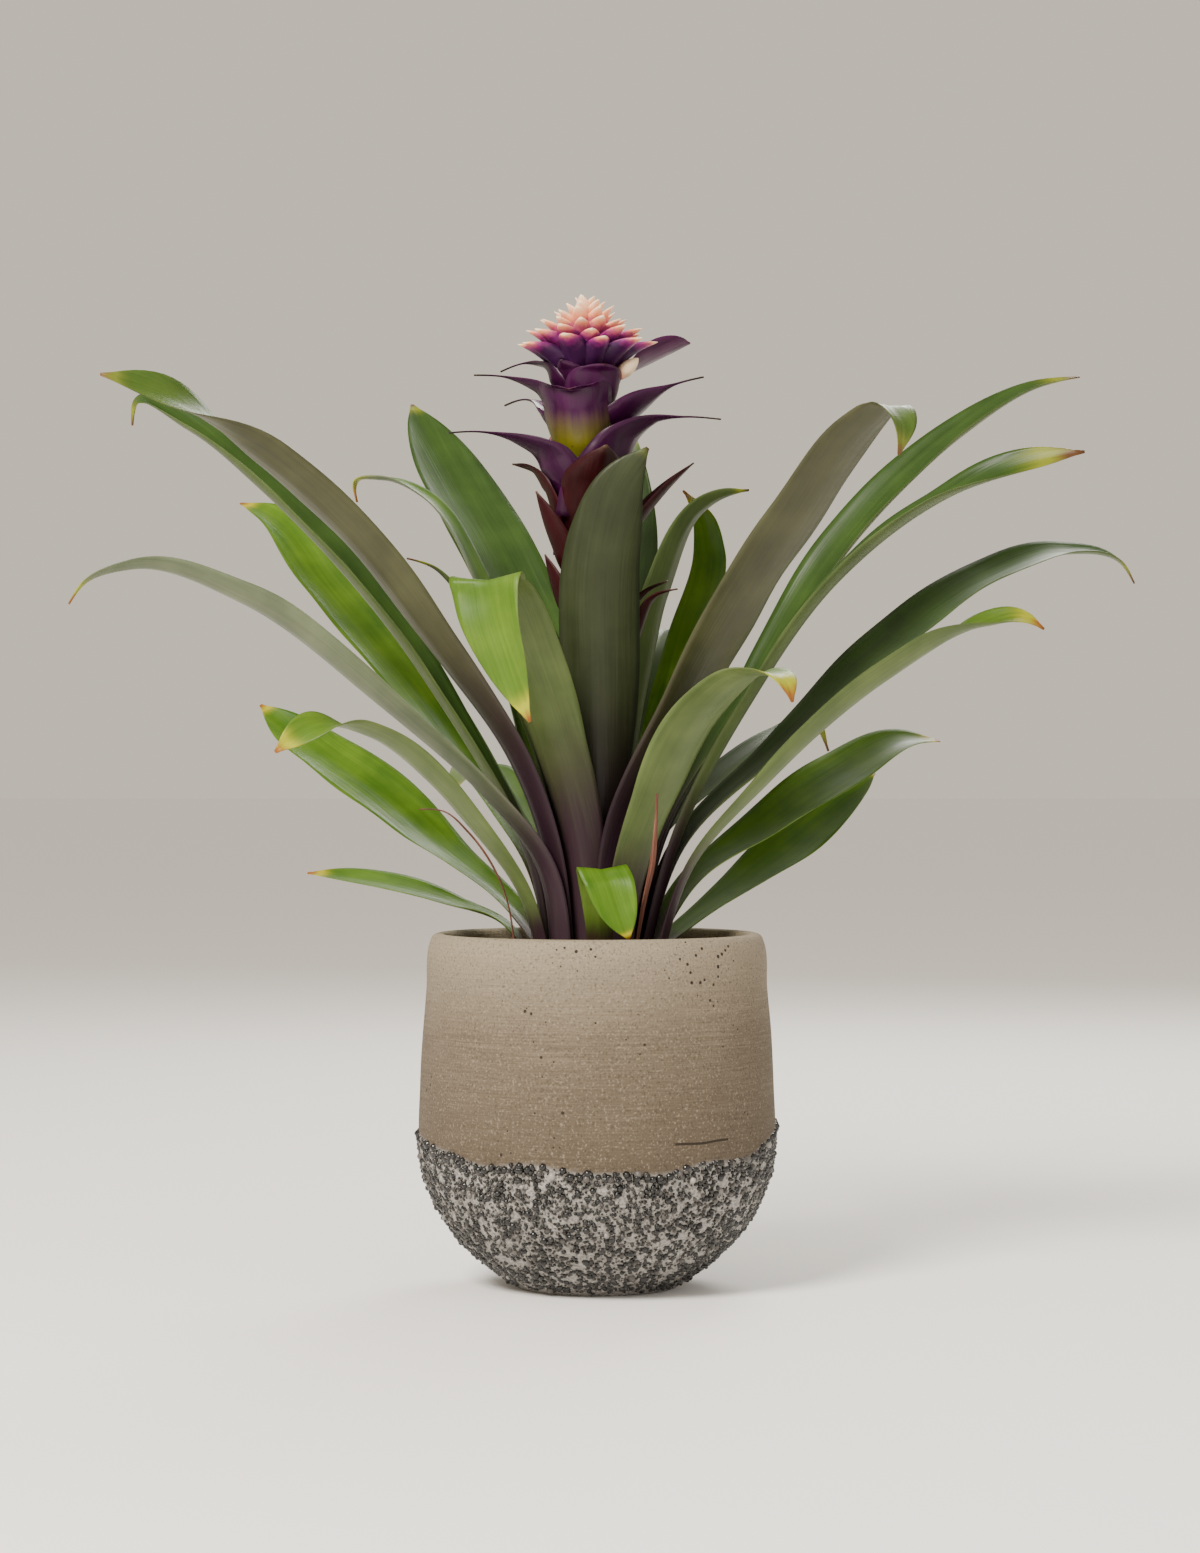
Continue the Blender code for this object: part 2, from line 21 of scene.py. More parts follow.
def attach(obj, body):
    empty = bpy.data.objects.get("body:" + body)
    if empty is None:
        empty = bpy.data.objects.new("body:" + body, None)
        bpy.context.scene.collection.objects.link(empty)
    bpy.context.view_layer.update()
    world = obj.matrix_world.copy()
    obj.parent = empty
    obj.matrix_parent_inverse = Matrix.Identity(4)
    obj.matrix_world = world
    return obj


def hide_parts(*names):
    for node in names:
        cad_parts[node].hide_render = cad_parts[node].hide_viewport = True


MM = 0.001
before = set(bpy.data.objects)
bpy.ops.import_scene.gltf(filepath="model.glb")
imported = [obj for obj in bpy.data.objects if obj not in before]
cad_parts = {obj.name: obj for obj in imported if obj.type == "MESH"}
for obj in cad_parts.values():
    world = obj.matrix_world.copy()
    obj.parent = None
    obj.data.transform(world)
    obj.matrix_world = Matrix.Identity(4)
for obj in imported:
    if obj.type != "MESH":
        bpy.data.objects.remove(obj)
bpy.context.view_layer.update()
chance = np.random.default_rng(7)

# %% [markdown]
# ## Colours and nodes
#
# A colour is easiest to write the way paint charts and screens do, as sRGB hex.  Shaders
# work in linear light, so one function turns the one into the other.  A second function
# adds a shader node, sets it and wires it, which keeps each material down to a short list.

# %% Helpers for materials
def srgb(code):
    """Six hex digits as linear red, green, blue and alpha."""
    values = [int(code[place:place + 2], 16) / 255.0 for place in (0, 2, 4)]
    linear = [value / 12.92 if value <= 0.04045 else ((value + 0.055) / 1.055) ** 2.4 for value in values]
    return (*linear, 1.0)


def add(material, kind, inputs=(), stops=(), **settings):
    """Add a shader node. inputs holds (socket, value or source), and stops is a colour ramp's."""
    node = material.node_tree.nodes.new("ShaderNode" + kind)
    for name, value in settings.items():
        setattr(node, name, value)
    for socket, value in dict(inputs).items():
        if isinstance(value, bpy.types.NodeSocket):
            material.node_tree.links.new(value, node.inputs[socket])
        else:
            node.inputs[socket].default_value = value
    for index, (position, colour) in enumerate(stops):
        ramp = node.color_ramp.elements
        stop = ramp[index] if index < len(ramp) else ramp.new(position)
        stop.position = position
        stop.color = colour
    return node


def new_material(name, **values):
    """A Principled material with the numbers that are the same all over its surface."""
    material = bpy.data.materials.new(name)
    material.use_nodes = True
    shader = material.node_tree.nodes["Principled BSDF"]
    for socket, value in values.items():
        shader.inputs[socket.replace("_", " ")].default_value = value
    return material, shader


def wire(material, source, target):
    """Link a node's output to a socket of the finished shader."""
    material.node_tree.links.new(source, target)


print("leaf green is", [round(value, 3) for value in srgb("6F8A3A")])

# %% [markdown]
# ## The leaf table
#
# A bromeliad is a rosette of strap leaves.  Each leaf is one curve that climbs out of the
# crown and arches over, drawn in an upright plane at its azimuth.  Its points are
# (distance out, height[, sideways drift]) in mm.  This is the CAD model's own table, so
# the fine leaf lands on the plain one that it replaces.  Only a few tips are blunter here,
# and some bracts are broader or turned a little, to sheathe the stem.
#
# `turn` is how far round the crown the foot sits from that plane, `width` the flat width in
# mm, `cup` the half angle of the channel, `twist` how far the leaf has rolled by its tip,
# and `tip` how blunt it ends.  All the angles are in degrees.

# %% Leaves, dried leaves and bracts
Blade = namedtuple("Blade", "name azimuth turn width cup twist tip path")

LEAVES = [
    Blade("leaf_left_1", 206, 8, 36, 35, 12, 6.0,
          [(22, 167), (29, 218), (45, 261), (90, 324), (132, 373), (187, 415), (230, 437), (259, 443)]),
    Blade("leaf_left_2", 172, 0, 34, 60, -15, 4.0,
          [(26, 167), (33, 207), (62, 268), (117, 350), (170, 404), (207, 433), (237, 445), (239, 433)]),
    Blade("leaf_left_3", 138, 0, 36, 25, -25, 5.0,
          [(29, 167), (40, 205), (64, 236), (122, 298), (194, 360), (236, 396), (263, 404)]),
    Blade("leaf_left_4", 192, 30, 34, 40, 15, 2.6,
          [(27, 167), (33, 208), (57, 244), (112, 296), (175, 342), (232, 357), (255, 348), (262, 338)]),
    Blade("leaf_left_5", 140, 0, 36, 25, -25, 4.5,
          [(35, 167), (52, 184), (100, 215), (150, 247), (200, 272), (238, 293)]),
    Blade("leaf_left_6", 208, 0, 28, 30, 5, 5.0,
          [(32, 167), (41, 194), (62, 224), (88, 252), (121, 275), (150, 280), (174, 266)]),
    Blade("leaf_left_7", 165, 0, 24, 25, -20, 3.6,
          [(38, 167), (46, 178), (76, 191), (118, 202), (153, 205)]),
    Blade("leaf_left_inner", 195, 0, 18, 40, 0, 2.4,
          [(14.5, 167), (20, 220), (40, 290), (70, 345), (84, 358), (97, 362)]),
    Blade("leaf_front_left", 240, 18, 40, 22, 0, 4.4,
          [(18, 167), (20, 205), (28, 242), (66, 311), (98, 346), (108, 348, 2), (111, 336, 5),
           (110, 306, 15), (108, 280, 26)]),
    Blade("leaf_back_left_1", 120, 0, 44, 25, -10, 6.0,
          [(19, 167), (23, 212), (28, 242), (43, 293), (107, 374), (156, 416), (203, 458)]),
    Blade("leaf_back_left_2", 154, 0, 20, 35, 0, 4.0,
          [(22, 167), (27, 207), (36, 250), (54, 320), (67, 356), (96, 397), (122, 408), (139, 406),
           (138, 396)]),
    Blade("leaf_centre_front", 273, 0, 42, 25, 0, 5.0,
          [(16.5, 167), (18, 222), (31, 300), (45, 372, 2), (50, 396, 9), (54, 414, 22)]),
    Blade("leaf_centre_back", 80, 0, 40, 28, 0, 4.0,
          [(14.5, 167), (18, 223), (28, 270), (61, 337), (94, 392), (108, 438)]),
    Blade("leaf_centre_right", 14, 0, 34, 25, -40, 2.8,
          [(11.5, 167), (13.5, 230), (22, 302), (33, 350), (55, 391), (64, 396), (79, 399)]),
    Blade("leaf_centre_lime", 55, 3, 30, 30, 0, 3.4,
          [(18.5, 167), (28, 205), (58, 273), (84, 325), (103, 373), (98, 388), (78, 402)]),
    Blade("leaf_right_1", 315, -20, 42, 22, 0, 5.5,
          [(22, 167), (25, 220), (58, 283), (95, 334), (135, 378), (177, 419), (192, 426), (202, 418, -3),
           (204, 402, -8)]),
    Blade("leaf_right_2", 14, 0, 36, 45, 18, 3.4,
          [(22.5, 167), (33, 218), (78, 296), (130, 376), (189, 431), (233, 456), (257, 461)]),
    Blade("leaf_right_3", 350, 0, 30, 45, 10, 5.0,
          [(26, 167), (39, 216), (77, 295), (119, 353), (170, 392), (215, 409), (242, 413)]),
    Blade("leaf_right_4", 22, 0, 38, 32, 18, 3.6,
          [(27, 167), (43, 214), (101, 270), (166, 326), (222, 361), (266, 374), (301, 367), (308, 357)]),
    Blade("leaf_right_5", 354, 0, 30, 40, -15, 5.0,
          [(33, 167), (47, 208), (84, 253), (143, 305), (192, 331), (212, 333), (222, 327)]),
    Blade("leaf_right_6", 306, -12, 34, 25, 0, 5.0,
          [(27, 167), (33, 203), (56, 255), (94, 292), (130, 304), (149, 300), (155, 289)]),
    Blade("leaf_right_7", 30, 0, 40, 28, 18, 5.0,
          [(32, 167), (55, 200), (98, 228), (147, 257), (190, 274), (209, 273)]),
    Blade("leaf_right_8", 38, 0, 34, 28, 22, 3.6,
          [(39, 167), (60, 179), (111, 209), (161, 239), (187, 256)]),
    Blade("leaf_right_9", 46, 0, 22, 35, 0, 2.6,
          [(24, 167), (34, 211), (85, 252), (140, 279), (164, 286), (178, 268)]),
    Blade("leaf_front_small", 272, 0, 24, 20, 0, 4.5,
          [(36, 167), (44, 185), (54, 205), (60, 210), (66, 205, 3), (70, 190, 8), (71, 176, 13)]),
    Blade("leaf_back_1", 76, 0, 34, 30, 0, 2.6,
          [(26, 167), (46, 228), (86, 285), (128, 325), (160, 334), (180, 324)]),
    Blade("leaf_back_2", 90, 0, 36, 30, 0, 2.6,
          [(31, 167), (56, 218), (98, 268), (140, 298), (175, 303), (196, 290)]),
    Blade("leaf_back_3", 113, 0, 34, 30, 0, 2.6,
          [(38, 167), (58, 203), (106, 237), (155, 258), (190, 256), (208, 244)]),
]

DRIED_LEAVES = [
    Blade("dried_leaf_left", 178, 0, 4, 30, 0, 2.0,
          [(41, 167), (48, 201), (64, 226), (77, 237), (89, 238)]),
    Blade("dried_leaf_front", 298, 0, 3.4, 30, 0, 2.0,
          [(40, 167), (48, 190), (58, 214), (61, 232), (62, 246)]),
]

# A bract stands on the flower stem, so its distance out is measured from the stem's axis.
STEM_BRACTS = [
    Blade("stem_bract_1", 318, 0, 13, 40, 0, 2.0,
          [(7, 256), (12, 272), (24, 300), (36, 328), (46, 342), (62, 346)]),
    Blade("stem_bract_2", 175, 0, 16, 45, 0, 2.4, [(7, 296), (12, 314), (18, 331), (23, 337), (26, 330)]),
    Blade("stem_bract_3", 335, 0, 12, 45, 0, 2.0, [(7, 306), (14, 322), (26, 338), (36, 347), (46, 351)]),
    Blade("stem_bract_4", 90, 0, 18, 50, 0, 2.2, [(7, 310), (13, 328), (24, 346), (36, 358)]),
    Blade("stem_bract_5", 200, 0, 20, 55, 0, 2.0, [(7, 326), (11, 341), (16, 355), (20, 365)]),
    Blade("stem_bract_6", 207, 0, 24, 55, 0, 2.0, [(7, 344), (11, 364), (19, 382), (26, 396)]),
    Blade("stem_bract_7", 10, 0, 24, 55, 0, 2.0, [(7, 350), (16, 368), (30, 387), (44, 402), (56, 412)]),
    Blade("stem_bract_8", 172, 0, 26, 55, 0, 2.0, [(7, 366), (11, 383), (17, 399), (25, 408), (36, 411)]),
    Blade("stem_bract_9", 288, 0, 40, 50, 0, 2.4, [(7, 364), (10, 382), (18, 398), (28, 409), (36, 417)]),
    Blade("stem_bract_10", 75, 0, 26, 55, 0, 2.2, [(7, 356), (13, 376), (25, 396), (40, 408)]),
]

FLOWER_BRACTS = [
    Blade("flower_bract_1", 200, 0, 42, 45, 0, 2.2,
          [(7, 376), (10, 394), (18, 413), (36, 422), (54, 425), (71, 424)]),
    Blade("flower_bract_2", 335, 0, 44, 45, 0, 2.2,
          [(7, 382), (11, 401), (23, 423), (37, 431), (55, 432), (74, 430)]),
    Blade("flower_bract_3", 95, 0, 40, 45, 0, 2.2, [(7, 390), (12, 408), (26, 426), (44, 433), (62, 428)]),
    Blade("flower_bract_4", 255, 0, 46, 54, 0, 6.0,
          [(7, 398), (9, 412), (13, 428), (19, 441), (26, 447.5), (31, 445)]),
    Blade("flower_bract_5", 350, 0, 36, 45, -15, 2.0, [(7, 414), (14, 428), (28, 440), (44, 449), (60, 453)]),
    Blade("flower_bract_6", 190, 0, 34, 45, 0, 2.0, [(7, 418), (11, 434), (22, 447), (38, 453), (56, 454)]),
    Blade("flower_bract_7", 135, 0, 36, 45, 0, 2.2, [(7, 409), (12, 427), (26, 440), (43, 446), (58, 444)]),
    Blade("flower_bract_8", 292, 0, 38, 50, 0, 3.0, [(7, 424), (9, 434), (14, 446), (20, 456), (25, 458)]),
    Blade("flower_bract_9", 62, 0, 36, 45, 0, 2.2, [(7, 399), (14, 418), (29, 435), (44, 444), (60, 446)]),
    Blade("flower_bract_10", 165, 0, 32, 45, 0, 2.0, [(7, 434), (10, 447), (19, 460), (30, 462), (44, 458)]),
    Blade("flower_bract_11", 26, 0, 30, 40, -25, 3.2, [(7, 440), (15, 452), (30, 463), (45, 470), (59, 474)]),
    Blade("flower_bract_12", 232, 0, 22, 50, 0, 2.4, [(7, 441), (10, 449), (15, 457), (20, 461)]),
    Blade("flower_bract_13", 96, 0, 32, 45, 0, 2.2, [(7, 430), (13, 446), (26, 457), (42, 461)]),
]
print(len(LEAVES), "leaves,", len(STEM_BRACTS) + len(FLOWER_BRACTS), "bracts")

# %% [markdown]
# ## From a few points to a smooth curve
#
# A leaf bends gently for most of its length and sharply where it has folded over.  The
# curve below runs through the table's points, and its stations crowd together where it
# bends, so that a fold gets enough rows to stay round without wasting them elsewhere.

# %% A smooth path
STEPS_PER_SPAN = 24


def ease(value):
    """Smooth step from 0 to 1, for numbers and arrays."""
    value = np.clip(value, 0.0, 1.0)
    return value * value * (3.0 - 2.0 * value)


def smooth_path(points, count, crowding=0.0):
    """A curve through the points, read at count stations. crowding is mm of travel per radian turned."""
    points = np.array([tuple(point) + (0.0,) * (3 - len(point)) for point in points], dtype=float)
    chords = np.linalg.norm(np.diff(points, axis=0), axis=1)
    slopes = np.diff(points, axis=0) / chords[:, None]
    tangents = np.empty_like(points)
    weight = (chords[:-1] / (chords[:-1] + chords[1:]))[:, None]
    tangents[1:-1] = slopes[:-1] * (1.0 - weight) + slopes[1:] * weight
    tangents[0] = 1.5 * slopes[0] - 0.5 * tangents[1]
    tangents[-1] = 1.5 * slopes[-1] - 0.5 * tangents[-2]
    fine = [points[:1]]
    u = np.linspace(0.0, 1.0, STEPS_PER_SPAN + 1)[1:, None]
    for index, chord in enumerate(chords):
        start, end = points[index], points[index + 1]
        leaving, arriving = chord * tangents[index], chord * tangents[index + 1]
        fine.append((2 * u**3 - 3 * u**2 + 1) * start + (u**3 - 2 * u**2 + u) * leaving
                    + (3 * u**2 - 2 * u**3) * end + (u**3 - u**2) * arriving)
    fine = np.vstack(fine)
    steps = np.diff(fine, axis=0)
    lengths = np.linalg.norm(steps, axis=1)
    heading = steps / lengths[:, None]
    turning = np.concatenate([[0.0], np.linalg.norm(np.diff(heading, axis=0), axis=1)])
    travelled = np.concatenate([[0.0], np.cumsum(lengths)])
    paced = np.concatenate([[0.0], np.cumsum(lengths + crowding * turning)])
    stations = np.interp(np.linspace(0.0, paced[-1], count), paced, travelled)
    path = np.column_stack([np.interp(stations, travelled, fine[:, axis]) for axis in range(3)])
    return path, stations


# The flower stem leans a little to the left as it rises: (x, y, height) in mm.
STEM_PATH = [(0, 0, 172.4), (-3, 0, 250), (-7, 0, 340), (-7, 0, 400), (-6, 0, 440), (-6, 0, 460)]


def stem_axis(height):
    """Where the flower stem's axis is at a height, as (x, y, 0) in mm."""
    heights = [point[2] for point in STEM_PATH]
    return np.array([np.interp(height, heights, [point[axis] for point in STEM_PATH]) for axis in (0, 1)]
                    + [0.0])


print("leaf_left_1 is", round(smooth_path(LEAVES[0].path, 50)[1][-1]), "mm long")

# %% [markdown]
# ## From points to a piece
#
# Every piece below is worked out as points and faces.  One function turns them into a
# mesh object, gives it its material and says that it rides on the part's only body.  A
# second one stores a number at each point, or on each face, for a material to read.

# %% A piece from points and faces
def new_piece(name, points, faces, material, smooth=True):
    """A mesh object from points in mm, riding on the part's only body."""
    mesh = bpy.data.meshes.new(name)
    mesh.from_pydata((np.array(points) * MM).tolist(), [], faces)
    mesh.update()
    if smooth:
        mesh.shade_smooth()
    mesh.materials.append(material)
    piece = bpy.data.objects.new(name, mesh)
    bpy.context.scene.collection.objects.link(piece)
    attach(piece, "root")
    return piece


def give(piece, attribute, values, domain="POINT"):
    """Store one number for each point or face of the piece."""
    piece.data.attributes.new(attribute, "FLOAT", domain).data.foreach_set("value", values)


print("a point at 1 mm is put at", 1 * MM, "m")

# %% [markdown]
# ## One blade
#
# Close to the crown a leaf wraps round its neighbours, so its cross-section is an arc
# about the plant's axis.  Further out it opens into its own shallow channel, and it goes
# flat where it has folded.  A real blade is fleshy along its middle and thin at its
# margins, it has a faint groove down the midrib, and its margins ripple.  Two skins that
# meet in a narrow rim give all of that, and one closed mesh for each leaf.

# %% The blade's surface
CROWDING = 30.0               # extra mm of travel a bend counts for, per radian
FOLD_FLATTENS = 14.0          # a bend of this radius in mm halves the channel
MOST_CHANNEL = 1.25           # radians either side of the midrib
TIP_HALF_WIDTH = 0.8          # mm
GROOVE = 0.35                 # depth of the midrib's groove, mm
GROOVE_SHARE = 0.16           # and its half width, as a share of the blade's
FULL_RELIEF = 9.0             # half width, mm, from which groove and ripples have their full height
LEFT_WAVES = (9.0, 21.0)      # mm travelled per radian of the two waves that ripple one margin
RIGHT_WAVES = (10.5, 17.0)    # and the other one

# Where each change happens along a blade, as (start, length) in shares of its length.
STRAP_OPENS = (0.0, 0.6)
TIP_TAPERS = (0.45, 0.55)
THREAD_TAPERS = (0.32, 0.5)
FOOT_TURNS = (0.0, 0.4)
TWIST_ZONE = (0.15, 0.5)
CURL_ZONE = (0.76, 0.2)
SINK_ZONE = (0.1, 0.3)
RIPPLE_ZONE = (0.18, 0.25)
FLESHY_ZONE = (0.0, 0.2)


def through(along, zone):
    """How far through a zone a place is, eased from 0 to 1."""
    return ease((along - zone[0]) / zone[1])


def half_widths(blade, along, foot_share, tail):
    """Half of the flat width: a foot, an even strap, then the tip. tail draws the tip out to a thread."""
    strap = foot_share + (1.0 - foot_share) * through(along, STRAP_OPENS)
    taper = 1.0 - np.clip((along - TIP_TAPERS[0]) / TIP_TAPERS[1], 0.0, 1.0) ** blade.tip
    if tail:
        taper = 1.0 - through(along, THREAD_TAPERS) + tail * np.sqrt(1.0 - along)
    return np.maximum(blade.width / 2.0 * strap * taper, TIP_HALF_WIDTH)


def margin_wave(travelled, lengths, phases):
    """Two waves of different lengths, added, so that a margin never ripples evenly."""
    return np.sin(travelled / lengths[0] + phases[0]) + np.sin(travelled / lengths[1] + phases[1])


def blade_surface(blade, rows, columns, foot_share, ripple, curl=0.0, tail=0.0, axis_at=None):
    """Middle surface and upward normals as (rows, columns, 3) arrays, with its lengthwise figures."""
    path, stations = smooth_path(blade.path, rows, CROWDING)
    along = stations / stations[-1]
    angle = np.radians(blade.azimuth + blade.turn * (1.0 - through(along, FOOT_TURNS)))
    sideways = np.column_stack([-np.sin(angle), np.cos(angle), np.zeros(rows)])
    middle = np.column_stack([path[:, 0] * np.cos(angle), path[:, 0] * np.sin(angle), path[:, 1]])
    middle += sideways * path[:, 2:3]
    tangent = np.gradient(middle, stations, axis=0)
    tangent /= np.linalg.norm(tangent, axis=1)[:, None]
    bend = np.linalg.norm(np.gradient(tangent, stations, axis=0), axis=1)
    half = half_widths(blade, along, foot_share, tail)
    share = np.linspace(-1.0, 1.0, columns)
    phase = chance.uniform(0.0, tau, 4)
    points, normals = np.empty((rows, columns, 3)), np.empty((rows, columns, 3))
    for row, value in enumerate(along):
        lateral = sideways[row] - tangent[row] * np.dot(sideways[row], tangent[row])
        lateral /= np.linalg.norm(lateral)
        normal = np.cross(tangent[row], lateral)
        roll = radians(blade.twist) * through(value, TWIST_ZONE) + radians(curl) * through(value, CURL_ZONE)
        across = lateral * cos(roll) + normal * sin(roll)
        inward = normal * cos(roll) - lateral * sin(roll)

        flatten = 1.0 / (1.0 + (bend[row] * FOLD_FLATTENS) ** 2)
        channel = min(max(half[row] / path[row][0], radians(blade.cup) * flatten), MOST_CHANNEL)
        radius = half[row] / channel
        sink = 0.5 * radius * (1.0 - cos(channel)) * through(value, SINK_ZONE)
        origin = middle[row] - inward * sink
        if axis_at:
            origin = origin + axis_at(middle[row][2])
        turned = share * channel
        facing = inward * np.cos(turned)[:, None] - across * np.sin(turned)[:, None]

        wave = np.where(share > 0, margin_wave(stations[row], LEFT_WAVES, phase[:2]),
                        margin_wave(stations[row], RIGHT_WAVES, phase[2:]))
        lift = through(value, RIPPLE_ZONE) * ripple * wave * np.abs(share) ** 3
        lift -= GROOVE * np.exp(-(share / GROOVE_SHARE) ** 2)
        lift *= min(half[row] / FULL_RELIEF, 1.0)
        points[row] = (origin + across * (radius * np.sin(turned))[:, None]
                       + inward * (radius * (1.0 - np.cos(turned)))[:, None] + facing * lift[:, None])
        normals[row] = facing
    return points, normals, along, stations, half, share


quarters = np.linspace(0.0, 1.0, 5)
print("half widths of", LEAVES[0].name, np.round(half_widths(LEAVES[0], quarters, 0.5, 0.0), 1))

# %% A closed mesh from that surface
MARGIN = 0.35                 # thickness left at the margins, as a share of the middle's
FLESHY_FOOT = 0.8             # how much thicker the foot is than the strap
FOOT_FADE = (0.45, 0.75)      # where the foot's colour starts to fade and how long it takes, in feet


def blade_object(blade, material, thickness, rows, columns, foot_share=0.5, ripple=0.35, foot=0.3, tip=0.9,
                 curl=0.0, tail=0.0, axis_at=None):
    """The blade as one closed mesh. It carries foot, tip and under for its material, and a map in metres."""
    points, normals, along, stations, half, share = blade_surface(blade, rows, columns, foot_share, ripple,
                                                                  curl, tail, axis_at)
    depth = thickness / 2.0 * (1.0 - (1.0 - MARGIN) * np.abs(share) ** 2.5)
    depth = depth[None, :, None] * (1.0 + FLESHY_FOOT * (1.0 - through(along, FLESHY_ZONE)))[:, None, None]
    ring = np.concatenate([points + normals * depth, (points - normals * depth)[:, ::-1]], axis=1)
    wide = ring.shape[1]
    corners = np.arange(rows * wide).reshape(rows, wide)
    shifted = np.roll(corners, -1, axis=1)
    sides = np.stack([corners[:-1], shifted[:-1], shifted[1:], corners[1:]], axis=-1).reshape(-1, 4)
    foot_end = [[pair, wide - 1 - pair, wide - 2 - pair, pair + 1] for pair in range(columns - 1)]
    tip_end = [[(rows - 1) * wide + corner for corner in reversed(quad)] for quad in foot_end]
    ends = foot_end + tip_end
    piece = new_piece(blade.name + "_blade", ring.reshape(-1, 3), sides.tolist() + ends, material)

    under = np.zeros((rows - 1, wide))
    under[:, columns - 1:] = 1.0
    give(piece, "under", np.concatenate([under.ravel(), np.zeros(len(ends))]), "FACE")
    foot_zone = 1.0 - ease((along - foot * FOOT_FADE[0]) / max(foot * FOOT_FADE[1], 0.01))
    tip_zone = ease((along - tip) / max(1.0 - tip, 0.02))
    give(piece, "foot", np.repeat(foot_zone, wide))
    give(piece, "tip", np.repeat(tip_zone, wide))
    flat = np.stack([np.outer(half, np.concatenate([share, share[::-1]])),
                     np.repeat(stations[:, None], wide, axis=1)], axis=-1).reshape(-1, 2) * MM
    loops = np.empty(len(piece.data.loops), dtype=int)
    piece.data.loops.foreach_get("vertex_index", loops)
    piece.data.uv_layers.new(name="flat_blade").data.foreach_set("uv", flat[loops].ravel())
    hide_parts(blade.name)
    return piece


print("a leaf's margin is", round(100 * MARGIN), "% as thick as its middle")

# %% [markdown]
# ## Leaf skin
#
# A bromeliad leaf is waxy, so it has a soft, wide highlight.  Fine parallel veins run
# along it.  The upper side is a clear green; the underside is duller, because a coat of
# tiny scales greys it.  The foot is stained purple-brown, and an old tip yellows and then
# browns.  One function makes each kind, from seven colours, and the mesh says where the
# foot, the tip and the underside are.  The real veins are finer than 0.9 mm: they are drawn
# as coarse as they need to be to show.

# %% The living blade's material
VEIN = 0.9 * MM               # spacing of the fine veins
RIB = 3.4 * MM                # and of the broader bands that they make
SPECK = 2.2 * MM              # spacing of the tiny dark spots
VEIN_LENGTH = 45.0 * MM       # a vein keeps its tone for about this long, and a band for twice that
BLOTCH = 26.0 * MM            # size of the lighter and darker patches


